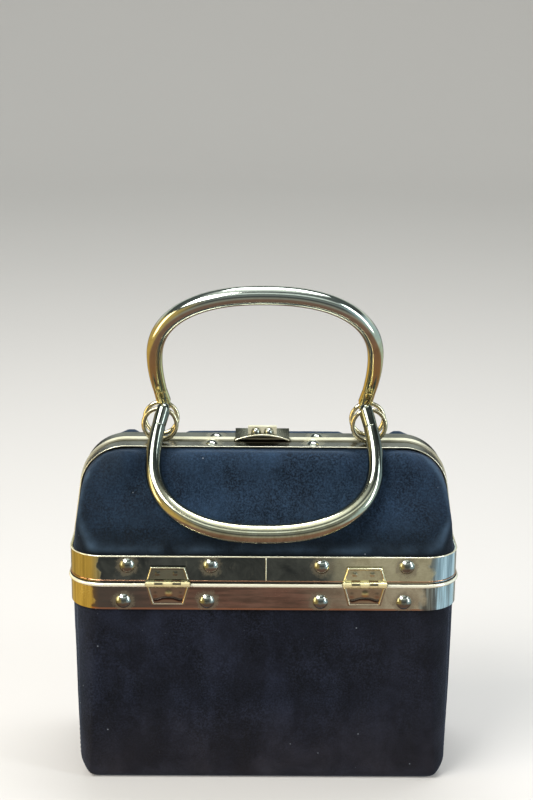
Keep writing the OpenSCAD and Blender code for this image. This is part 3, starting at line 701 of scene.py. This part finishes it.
def frame_puff(points):
    """How far the velvet bulges beside a lid's frame: least where the handles' arms pass."""
    x, y, z = np.abs(points[:, 0]), -points[:, 1] - FRAME_W, points[:, 2]
    along = np.clip(y - 0.9, 0, None) / PUFF_REACH
    rise = along * np.exp(1 - along)
    height = ARMS_PUFF + MIDDLE_PUFF * ramp(x, 53, 44) + SHOULDER_PUFF * ramp(x, 68, 76)
    height *= 1 - ramp(x, 80, 93)
    return rise * height * np.clip((z - RIDGE_Z + 24) / 12, 0, 1)


def bell(value, centre, width):
    """1 at the centre, falling smoothly to 0 on both sides."""
    return np.exp(-((value - centre) / width) ** 2)


def lid_cloth(name, points, rows, cols, side, thickness):
    """A cloth of the front lid where side is 1, turned for the back lid where it is -1."""
    cloth = make_mesh(name, points if side > 0 else turned(points), grid_faces(rows, cols))
    thicken(cloth, thickness)
    return cloth


def lid_cover(half, side):
    """The velvet over one lid, with a soft raised seam round each end."""
    points, rows, cols = lid_shell(SKIN, -(FRAME_W - 1), 96, 96, 92)
    normal = slope_of(lid_depth, points, SKIN)
    free = np.clip((points[:, 2] - BAND_TOP - 0.6) / 3, 0, 1)
    free *= np.clip((-points[:, 1] - FRAME_W - 0.2) / 3, 0, 1)
    gap = crease(points, SKIN)
    pucker = np.sin(points[:, 2] * 1.15 + 2 * wander(points, 30, 4)) * bell(gap, 0, 5)
    lift = 0.34 * bell(gap, 0, 1.1) - 0.22 * bell(gap, -2.6, 1.3) + 0.05 * pucker
    lift += 0.20 * wander(points, 46, 11 + side) + 0.05 * wander(points, 13, 21 + side)
    lift -= 0.18
    points = points + normal * (lift * free + frame_puff(points))[:, None]
    cover = lid_cloth(f"{half}_cover", points, rows, cols, side, VELVET_T)
    # The seam paint marks where the lid's velvet takes its lighter seam colour: rubbed pile and a
    # painted highlight.
    paint(cover, "seam", bell(gap, 0, 1.7) * free)
    # Painted shade: this paint darkens the end faces past the crease.
    paint(cover, "end", np.clip((gap - 1.5) / 2, 0, 1))
    return cover


def gathers(level, column, count, reach, shift, sag, drift):
    """How far a lining stands in: pleats at its two edges and some slack between them.

    level and column run from 0 to 1. count pleats reach in from the edges and are moved along by
    shift. sag is the slack in millimetres and drift varies it.
    """
    edge = np.exp(-level / reach) + np.exp(-(1 - level) / reach)
    pleat = 0.5 + 0.5 * np.sin(column * 2 * math.pi * count + shift)
    slack = sag * np.sin(level * math.pi) * (1 + drift)
    return 0.30 * edge * pleat + np.maximum(slack, 0) + 0.03


def lid_lining(half, side):
    """The satin inside one lid, gathered a little towards its edges."""
    points, rows, cols = lid_shell(LINING_IN, -1.3, 56, 44, 60)
    normal = slope_of(lid_depth, points, LINING_IN)
    column, level = np.meshgrid(np.linspace(0, 1, cols), np.linspace(0, 1, rows))
    inward = gathers(level.ravel(), column.ravel(), 46, 0.16, 1.5 * wander(points, 40, 5),
                     0.35, wander(points, 50, 6))
    points = points - normal * inward[:, None]
    return lid_cloth(f"{half}_lining_cloth", points, rows, cols, side, LINING_T)


# ---------- lower box ----------

def plan_points(corner_steps, long_steps, short_steps):
    """Round the plan once: points on the rectangle inside its corners, and outward normals."""
    cx, cy = HALF_W - CORNER_R, HALF_D - CORNER_R
    base, normal = [], []
    corners = [(cx, -cy, -90), (cx, cy, 0), (-cx, cy, 90), (-cx, -cy, 180)]
    for i, (x, y, start) in enumerate(corners):
        for a in np.radians(np.linspace(start, start + 90, corner_steps)):
            base.append((x, y))
            normal.append((math.cos(a), math.sin(a)))
        following = corners[(i + 1) % 4]
        steps = short_steps if i % 2 == 0 else long_steps
        for t in np.linspace(0, 1, steps + 1)[1:-1]:
            base.append((x + (following[0] - x) * t, y + (following[1] - y) * t))
            normal.append(normal[-1])
    return np.array(base), np.array(normal)


def wall_inset(z):
    return max(0, KNEE_Z - z) * WALL_SLOPE


def box_reach(normal, z, inset):
    """How far the lower box reaches from a corner's centre at height z, along each plan normal."""
    reach = np.full(len(normal), float(CORNER_R - inset))
    for axis, foot_r in enumerate((END_FOOT_R - inset, SIDE_FOOT_R - inset)):
        below = max(foot_r - z, 0)
        tuck = foot_r - math.sqrt(foot_r ** 2 - below ** 2) + wall_inset(z)
        along = np.maximum(np.abs(normal[:, axis]), 1e-3)
        straight = (CORNER_R - inset - tuck) / along
        reach = -smooth_max(-reach, -straight, 0.5)
    return reach


SEAM_ANGLE = 28.5               # degrees round a corner, from the end, to its seam


def lower_cover():
    """The velvet round the lower box, seamed at its four corners and turned in below."""
    base, normal = plan_points(46, 100, 26)
    heights = np.concatenate([np.linspace(COVER_TOP, END_FOOT_R + 0.6, 84),
                              END_FOOT_R * (1 - np.sin(np.radians(np.linspace(3, 82, 16)))) + 0.1])
    rings = [box_reach(normal, z, SKIN) for z in heights]
    turned_in = (0.85, 0.65, 0.45)
    rings += [rings[-1] * share for share in turned_in]
    zs = np.concatenate([heights, [0.06] * len(turned_in)])
    reach = np.array(rings)
    n_rows, n_cols = reach.shape
    ring = base[None] + normal[None] * reach[..., None]
    z_flat = np.repeat(zs, n_cols)
    points = np.concatenate([ring.reshape(-1, 2), z_flat[:, None]], 1)
    angle = np.degrees(np.arctan2(np.abs(normal[:, 1]), np.abs(normal[:, 0])))
    across = np.radians(angle - SEAM_ANGLE) * (CORNER_R - SKIN)
    on_corner = (angle > 2) & (angle < 88)
    across = np.tile(np.where(on_corner, across, 30), n_rows)
    free = np.clip((KNEE_Z - 0.6 - z_flat) / 3, 0, 1) * np.clip((z_flat - 1.5) / 5, 0, 1)
    lift = -0.45 * bell(across, 0, 0.55) + 0.10 * bell(np.abs(across), 1.9, 1.1)
    lift += 0.16 * wander(points, 52, 31) + 0.05 * wander(points, 14, 32) - 0.2
    points[:, :2] += np.tile(normal, (n_rows, 1)) * (lift * free)[:, None]
    faces = [face[::-1] for face in grid_faces(n_rows, n_cols, wrap=True)]
    cover = make_mesh("lower_cover", points, faces)
    # This seam paint lightens the velvet along and beside each corner seam and towards the foot:
    # rubbed pile and a painted highlight.
    wear_and_highlight = (bell(across, -9, 7) * 0.6 + bell(across, 0, 2.2)) * 0.6 + bell(z_flat, 4, 4) * 0.15
    paint(cover, "seam", np.clip(wear_and_highlight, 0, 1) * np.clip(free + 0.2, 0, 1))
    thicken(cover, VELVET_T)
    return cover


def at_height(ring, z):
    return np.column_stack([ring, np.full(len(ring), z)])


def rings_round(base, normal, profile, set_in=0):
    """One ring of points round the plan for each (inset, z) of a profile."""
    return [at_height(base + normal * (CORNER_R - inset - set_in), z) for inset, z in profile]


def drawn_in(ring, shares, z, rise):
    """Copies of a ring at each share of its depth, which climb from z to z + rise."""
    return [at_height(ring[:, :2] * np.array([1, share]), z + rise * (1 - share))
            for share in shares]


def base_cloth():
    """The velvet panel glued over the turned-in edges under the box."""
    base, normal = plan_points(24, 50, 14)
    base[:, 0] -= 3.5 * np.sign(base[:, 0])
    rows = rings_round(base, normal, ((13.4, 1.7), (12.9, 1.1), (12.9, 0.5), (13.3, 0.12),
                                      (14.2, 0.0), (17, 0.0), (19.9, 0.02)))
    rows += drawn_in(rows[-1], (0.8, 0.6, 0.4, 0.2, 0.03), 0.04, 0.12)
    points = np.concatenate(rows)
    panel = make_mesh("base_cloth", points, grid_faces(len(rows), len(base), wrap=True))
    paint(panel, "seam", np.zeros(len(points)))
    return panel


def corner_stitches():
    """Short thread stitches down the seam at each corner of the lower box."""
    angle = math.radians(SEAM_ANGLE)
    points, faces = [], []
    sides = 6
    ring = np.arange(sides) * 2 * math.pi / sides
    sections = ((0.0, 0.05), (0.35, 0.24), (1.1, 0.27), (1.85, 0.24), (2.2, 0.05))
    for sx in (-1, 1):
        for sy in (-1, 1):
            way = np.array([sx * math.cos(angle), sy * math.sin(angle)])
            side = np.array([-way[1], way[0]])
            corner = np.array([sx * (HALF_W - CORNER_R), sy * (HALF_D - CORNER_R)])
            for z0 in np.arange(9, KNEE_Z - 3, 2.9):
                start = len(points)
                for along, radius in sections:
                    z = z0 + along
                    core = corner + way * (box_reach(np.abs(way)[None], z, SKIN)[0] - 0.42)
                    for a in ring:
                        flat = core + radius * (math.cos(a) * way + math.sin(a) * side)
                        points.append((flat[0], flat[1], z))
                faces += grid_faces(len(sections), sides, wrap=True, start=start)
                faces.append(tuple(range(start + sides - 1, start - 1, -1)))
                faces.append(tuple(range(len(points) - sides, len(points))))
    return make_mesh("corner_stitches", points, faces)


def lower_lining_cloth():
    """The satin round the inside of the lower box."""
    base, normal = plan_points(16, 60, 16)
    heights = np.linspace(PARTING_Z - 0.5, 4.4, 40)
    points = np.concatenate([
        at_height(base + normal * box_reach(normal, z, LINING_IN)[:, None], z) for z in heights])
    count = len(base)
    outward = np.tile(normal, (len(heights), 1))
    level = np.repeat(np.linspace(0, 1, len(heights)), count)
    column = np.tile(np.arange(count) / count, len(heights))
    inward = gathers(level, column, 60, 0.12, 0, 0.4, wander(points, 60, 8))
    points[:, :2] -= outward * inward[:, None]
    cloth = make_mesh("lower_lining_cloth", points, grid_faces(len(heights), count, wrap=True))
    thicken(cloth, LINING_T)
    return cloth


def floor_pad():
    """The satin-covered pad in the bottom of the box, crowned in its middle."""
    base, normal = plan_points(14, 40, 12)
    base[:, 0] -= 2 * np.sign(base[:, 0])
    rows = rings_round(base, normal, ((7.2, 3.2), (6.9, 3.7), (6.9, 4.3), (7.5, 5.1), (9.0, 5.6),
                                      (12, 5.9), (16, 6.1), (19.9, 6.2)), WALL_SLOPE * 100)
    rows += drawn_in(rows[-1], (0.8, 0.6, 0.4, 0.2, 0.02), 6.2, 0.2)
    rows += drawn_in(rows[0], (0.02, 0.5, 1.0), 3.1, 0)
    points = np.concatenate(rows)
    top = np.clip((points[:, 2] - 5) / 1.2, 0, 1)
    points[:, 2] += 0.15 * wander(points, 40, 9) * top
    return make_mesh("floor_pad", points, grid_faces(len(rows), len(base), wrap=True))


# ---------- brass trims ----------

def plan_path(offset, z):
    """Points round the front half of the plan, from the left split to the right one."""
    cx, cy = HALF_W - CORNER_R, HALF_D - CORNER_R
    r = CORNER_R + offset
    left = [(-cx - r, y) for y in np.linspace(-0.3, -cy, 20)]
    left += [(-cx - r * math.cos(a), -cy - r * math.sin(a))
             for a in np.linspace(0, math.pi / 2, 30)[1:]]
    front = [(x, -cy - r) for x in np.linspace(-cx, cx, 90)[1:-1]]
    right = [(-x, y) for x, y in left[::-1]]
    return np.array([(x, y, z) for x, y in left + front + right])


def seam_path():
    """Points up the butt seam in the middle of a lid's band."""
    heights = np.linspace(LID_Z + 1.2, BAND_TOP - 0.6, 12)
    return np.array([(SEAM_X + 0.2, -HALF_D + 0.05, z) for z in heights])


def clasp_lip_path():
    """Points along the arched front edge of the clasp's plate."""
    low, high = low_mm("clasp_plate"), high_mm("clasp_plate")
    middle, half = (low[0] + high[0]) / 2, (high[0] - low[0]) / 2
    rise = high[2] - low[2] - CLASP_T
    share = np.linspace(-1, 1, 60)
    return np.stack([middle + half * share, np.full(60, low[1] + 0.15),
                     high[2] - 0.35 - rise * share ** 2], 1)


def shoulder_path(offset, y, foot_z):
    """Points along a lid's front view outline, from the left foot over to the right."""
    r = SHOULDER_R + offset
    lean_x = SHOULDER_X + r * math.cos(END_LEAN)
    lean_z = SHOULDER_Z + r * math.sin(END_LEAN)
    foot_x = min(lean_x + (lean_z - foot_z) * math.tan(END_LEAN), HALF_W - END_SET + offset)
    half = [(foot_x + (lean_x - foot_x) * t, foot_z + (lean_z - foot_z) * t)
            for t in np.linspace(0, 1, 14)]
    half += [(SHOULDER_X + r * math.cos(a), SHOULDER_Z + r * math.sin(a))
             for a in np.linspace(END_LEAN, math.pi / 2, 30)[1:]]
    half += [(x, SHOULDER_Z + r) for x in np.linspace(SHOULDER_X, 0, 50)[1:]]
    left = [(-x, y, z) for x, z in half]
    return np.array(left + [(-p[0], p[1], p[2]) for p in left[-2::-1]])


def handle_path(steps):
    """A handle's centre line in its own plane, as (x, away from the pivots)."""
    half_w, length, pivot_x = 62.6, 73.4, 57.8
    widest = length * 0.42      # how far from the pivots the handle is widest
    leg_share = 0.3             # the part of each half that is its leg
    flatness = 0.86             # 1 would make the bend an ellipse
    eye_share = 2 / 22          # the part that is inside the eye
    right = []
    for u in np.linspace(eye_share, 1, steps):
        if u < leg_share:
            s = u / leg_share
            right.append((pivot_x + (half_w - pivot_x) * math.sin(math.pi / 2 * s), widest * s))
        else:
            a = math.pi / 2 * (u - leg_share) / (1 - leg_share)
            right.append((half_w * max(math.cos(a), 0) ** flatness,
                          widest + (length - widest) * math.sin(a) ** flatness))
    left = [(-x, z) for x, z in right[-2::-1]]
    return np.array(right + left)


def even_path(path, step):
    """The same path with its points evenly spaced."""
    gap = np.linalg.norm(np.diff(path, axis=0), axis=1)
    along = np.concatenate([[0], np.cumsum(gap)])
    count = int(along[-1] / step)
    at = np.linspace(0, along[-1], count)
    return np.stack([np.interp(at, along, path[:, i]) for i in range(path.shape[1])], 1)


def handle_grip(name, joint, direction, body, cad_node, material):
    """The smooth tapered tube of one handle."""
    flat = even_path(handle_path(400), 0.9)
    pivot = joint_at[joint]
    away = np.array(direction)
    path = np.stack([flat[:, 0], pivot[1] + away[1] * flat[:, 1],
                     pivot[2] + away[2] * flat[:, 1]], 1)
    share = np.linspace(0, 1, len(path))
    end_r, swell = 3.9, 1.5
    radius = end_r + swell * np.sin(math.pi * share) ** 0.8
    grip = tube_mesh(name, path, radius, 40)
    finish_piece(grip, body, material, [cad_node])


LEAF_FRONT = 1.15               # from the bands' face to the front of a hinge leaf


def leaf_relief(name, node, up, body, turn):
    """The pressed relief on a hinge leaf: a raised rim round rivet marks or a waved ridge.

    up is true for the leaves on the lids, which have the rivet marks.
    """
    low, high = low_mm(node), high_mm(node)
    if turn:
        low, high = np.minimum(turned(low), turned(high)), np.maximum(turned(low), turned(high))
    middle = (low[0] + high[0]) / 2
    reach = (high[2] - PARTING_Z - 0.2) if up else (PARTING_Z + 0.2 - low[2])
    root = 2.35                 # from the hinge's axis to the relief
    wide = (high[0] - low[0]) / 2 - 0.55
    narrow = wide - 2.2 * reach / 10
    cols, rows = 60, 34
    s, t = np.meshgrid(np.linspace(-1, 1, cols), np.linspace(0, 1, rows))
    half = wide + (narrow - wide) * t
    x = s * half
    rise = (reach - root) * t
    side_gap = (1 - np.abs(s)) * half
    end_gap = (1 - t) * (reach - root)
    rim = bell(np.minimum(side_gap, end_gap), 0.6, 0.42)
    height = 0.12 + 0.55 * rim
    dark = golden = np.zeros((rows, cols))
    if up:
        for place in (-5.6, 4.2):
            height += 0.36 * np.clip(1.35 - np.hypot(x - place, rise - 3.6), 0, 1) ** 0.5
        height += 0.08 * np.sin(x * 0.8 + 1.2) * bell(rise, 4, 2)
    else:
        wave = 3.2 + 1.3 * bell(x, 0, 3.6) - 0.25 * np.cos(x * 0.9)
        # A raised boss, which the hinge colour also gives a painted highlight.
        golden = bell(x, 0.4, 2.0) * bell(rise, 3.4, 1.7)
        side_boss = bell(np.abs(x), 7.2, 1.5) * bell(rise, 4.2, 1.5)
        ridge = bell(end_gap, wave, 0.5) * (np.abs(s) < 0.82)
        height += 0.5 * ridge + 0.4 * golden + 0.22 * side_boss
        # Painted shade along the pressed wave.
        dark = bell(end_gap, wave, 0.8) * (np.abs(s) < 0.84)
    border = np.minimum(np.minimum(side_gap, end_gap), rise + 0.4)
    height *= np.clip(border / 0.22, 0.05, 1)
    plate_y = -HALF_D - LEAF_FRONT
    z = PARTING_Z + 0.2 + (root + rise) * (1 if up else -1)
    front = np.stack([middle + x, plate_y - height, z], -1)
    back = front.copy()
    back[..., 1] = plate_y + 0.3
    points = np.concatenate([front.reshape(-1, 3), back.reshape(-1, 3)])
    count = rows * cols
    faces = grid_faces(rows, cols)
    faces += [tuple(count + i for i in face[::-1]) for face in grid_faces(rows, cols)]
    loop = list(range(cols))
    loop += [r * cols + cols - 1 for r in range(1, rows)]
    loop += [(rows - 1) * cols + c for c in range(cols - 2, -1, -1)]
    loop += [r * cols for r in range(rows - 2, 0, -1)]
    for a, b in zip(loop, loop[1:] + loop[:1]):
        faces.append((b, a, count + a, count + b))
    if not up:
        faces = [face[::-1] for face in faces]
    relief = make_mesh(name, turned(points) if turn else points, faces)
    # Paint for the hinge colour: painted highlights on the rims and boss, painted shade along the
    # wave.
    for label, values in (("rim", rim), ("wave", dark), ("boss", golden)):
        paint(relief, label, np.concatenate([values.ravel(), np.zeros(count)]))
    finish_piece(relief, body, brass_hinge)


# ---------- build ----------

covers = {}
for side, half in ((1, "front"), (-1, "back")):
    covers[half] = lid_cover(half, side)
    finish_piece(covers[half], f"{half}_lid", velvet_lid, [f"{half}_velvet"])
    cloth = lid_lining(half, side)
    finish_piece(cloth, f"{half}_lid", satin, [f"{half}_lining"])
    covers[half + "_lining"] = cloth

box_cover = lower_cover()
finish_piece(box_cover, "box", velvet_box, ["lower_velvet"])
under = base_cloth()
finish_piece(under, "box", velvet_box, ["base_panel"])
stitches = corner_stitches()
finish_piece(stitches, "box", thread)
box_lining = lower_lining_cloth()
finish_piece(box_lining, "box", satin, ["lower_lining"])
pad = floor_pad()
finish_piece(pad, "box", satin)

HANG = math.radians(37)          # how far the front handle hangs out from the lid
LEAN = math.radians(20)          # how far the back handle leans forward
handle_grip("front_grip", "front_handle_swing", (0, -math.sin(HANG), -math.cos(HANG)),
            "front_handle", "front_handle_tube", brass_hanging)
handle_grip("back_grip", "back_handle_swing", (0, -math.sin(LEAN), math.cos(LEAN)),
            "back_handle", "back_handle_tube", brass_upright)

for half, turn in (("front", False), ("back", True)):
    body = f"{half}_lid"
    # The hems, the frame's front edge and the seam lip take the pale brass with a painted
    # highlight; the foot hem takes the coppery brass with a painted warm reflection.
    trims = (("band_top_hem", plan_path(-0.1, BAND_TOP - 0.15), 0.42, brass_highlight),
             ("band_foot_hem", plan_path(-0.1, LID_Z + 0.85), 0.42, brass_warm_reflection),
             ("frame_front_edge", shoulder_path(0.0, -FRAME_W + 0.1, BAND_TOP + 0.3), 0.28,
              brass_highlight),
             ("band_seam_lip", seam_path(), 0.3, brass_highlight))
    for label, path, radius, material in trims:
        trim = tube_mesh(f"{half}_{label}", turned(path) if turn else path, radius, 10)
        finish_piece(trim, body, material)
    for side in ("left", "right"):
        for leaf, up, rides_on in (("lid_leaf", True, body), ("box_leaf", False, "box")):
            leaf_relief(f"{half}_{side}_{leaf}_relief", f"{half}_{side}_hinge_{leaf}", up,
                        rides_on, turn)

# The clasp's lip takes the pale brass with a painted highlight.
finish_piece(tube_mesh("clasp_lip", clasp_lip_path(), 0.42, 10), "clasp",
             brass_highlight)

# ---------- materials of the CAD nodes that stay ----------

# The first of these words that is in a node's name gives its material
# The frame's bead and the clasp housing take the pale brass with a painted highlight, the frame
# the dark brass with a painted dark reflection, and the rivets and balls the darkened rivet brass.
NODE_MATERIALS = (
    ("pin", aged_brass), ("strike", aged_brass), ("_board", board), ("rivets", brass_rivet),
    ("balls", brass_rivet), ("lower_band", brass_band_lower), ("_band_", brass_band_upper),
    ("frame_bead", brass_highlight), ("clasp_housing", brass_highlight), ("frame", brass_frame),
    ("leaf", brass_hinge), ("front_handle", brass_hanging), ("back_handle", brass_upright),
    ("clasp", brass_clasp), ("", brass))
for name, node in frame["nodes"].items():
    node.data.materials.clear()
    node.data.materials.append(next(look for word, look in NODE_MATERIALS if word in name))


# ---------- stage, light and camera ----------

def sweep():
    """A pale floor that curves up into a wall all round. It doesn't show in the brass."""
    floor_r, curve_r = 2.4, 0.9
    wall_r = floor_r + curve_r
    profile = [(r, 0.0) for r in np.linspace(0.02, floor_r, 12)]
    profile += [(floor_r + curve_r * math.sin(a), curve_r - curve_r * math.cos(a))
                for a in np.linspace(0, math.pi / 2, 12)[1:]]
    profile += [(wall_r, z) for z in (1.7, 2.5, 3.3)]
    turns = np.linspace(0, 2 * math.pi, 64, endpoint=False)
    points = [(r * math.cos(a) / MM, r * math.sin(a) / MM, z / MM)
              for r, z in profile for a in turns]
    stage = make_mesh("studio_sweep", points, grid_faces(len(profile), len(turns), wrap=True))
    stage.data.materials.append(stage_material())
    stage.visible_glossy = False


def softbox(name, place, target, size, power, colour):
    """An area light in watts that the camera doesn't see."""
    data = bpy.data.lights.new(name, "AREA")
    data.shape = "RECTANGLE"
    data.size, data.size_y = size
    data.energy = power
    data.color = colour
    lamp = bpy.data.objects.new(name, data)
    lamp.visible_camera = False
    lamp.location = place
    lamp.rotation_euler = (Vector(target) - Vector(place)).to_track_quat("-Z", "Y").to_euler()
    bpy.context.scene.collection.objects.link(lamp)


# The room that the brass reflects: sine of the height angle, and colour
ROOM_TONES = (
    (-1.00, (0.22, 0.13, 0.10)),
    (-0.60, (0.26, 0.16, 0.12)),
    (-0.42, (0.34, 0.32, 0.27)),
    (-0.26, (0.34, 0.33, 0.29)),
    (-0.08, (0.06, 0.065, 0.065)),
    (0.10, (0.14, 0.155, 0.155)),
    (0.28, (0.30, 0.33, 0.32)),
    (0.44, (0.07, 0.08, 0.08)),
    (0.84, (0.12, 0.14, 0.14)),
    (0.93, (0.80, 0.86, 0.82)),
    (1.00, (1.60, 1.68, 1.58)),
)

# Panels on the room's walls: axis, where its edge starts and ends, lowest and highest, colour
ROOM_PANELS = (
    ("X", -0.35, -0.70, -0.55, 0.35, (0.62, 0.44, 0.15)),
    ("X", 0.55, 0.75, -0.50, 0.40, (0.50, 0.66, 0.74)),
    ("Y", 0.30, 0.70, 0.12, 0.42, (0.82, 0.88, 0.80)),
    ("Y", -0.45, -0.65, 0.50, 0.70, (1.05, 1.15, 1.12)),
)
PANEL_SOFT = 0.06                # half the blur of a panel's lower and upper edges


def studio():
    """The lights, and the dim room that is in the world shader for the brass to reflect."""
    middle = (0, 0, 0.14)
    softbox("key", (-0.75, -0.75, 1.35), middle, (0.9, 0.7), 26, (1.0, 0.98, 0.95))
    softbox("top", (0.15, 0.35, 1.5), middle, (1.0, 0.5), 16, (0.95, 0.97, 1.0))
    softbox("left_card", (-1.2, -0.35, 0.35), middle, (0.4, 0.9), 5, (1.0, 0.80, 0.42))
    softbox("right_strip", (1.15, -0.55, 0.55), middle, (0.22, 1.2), 8, (0.86, 0.94, 1.0))
    world = bpy.data.worlds.new("studio")
    world.use_nodes = True
    n = Nodes(world.node_tree, "Generated")
    height = n.axis("Z")
    ramp_node = n.tree.nodes.new("ShaderNodeValToRGB")
    n.join(n.span(height, -1, 1), ramp_node.inputs[0])
    stops = ramp_node.color_ramp.elements
    for _ in range(len(ROOM_TONES) - 2):
        stops.new(0.5)
    for stop, (level, colour) in zip(stops, ROOM_TONES):
        stop.position = (level + 1) / 2
        stop.color = (*colour, 1)
    tone = ramp_node.outputs[0]
    for axis, start, end, low, high, colour in ROOM_PANELS:
        share = n.times(n.span(n.axis(axis), start, end),
                        n.span(height, low - PANEL_SOFT, low + PANEL_SOFT))
        share = n.times(share, n.span(height, high + PANEL_SOFT, high - PANEL_SOFT))
        tone = n.mix(share, tone, colour)
    n.join(tone, n.tree.nodes["Background"].inputs["Color"])
    bpy.context.scene.world = world


def camera():
    """A camera that looks slightly down at the middle of the lids."""
    aim = Vector((0.00104, 0, 0.21734))
    reach = 0.950
    pitch, yaw, roll = 0.2685, 0.0085, 0.0086      # in radians
    forward = Vector((math.sin(yaw) * math.cos(pitch), math.cos(yaw) * math.cos(pitch),
                      -math.sin(pitch)))
    right = Vector((math.cos(yaw), -math.sin(yaw), 0))
    up = right.cross(forward)
    side = right * math.cos(roll) + up * math.sin(roll)
    top = up * math.cos(roll) - right * math.sin(roll)
    data = bpy.data.cameras.new("camera")
    data.sensor_width = 36
    data.lens = 74.59
    data.clip_start = 0.01
    seen = bpy.data.objects.new("camera", data)
    turn = Matrix((side, top, -forward)).transposed()
    seen.matrix_world = Matrix.Translation(aim - forward * reach) @ turn.to_4x4()
    bpy.context.scene.collection.objects.link(seen)
    bpy.context.scene.camera = seen


sweep()
studio()
camera()
bpy.context.scene.view_settings.view_transform = "Standard"
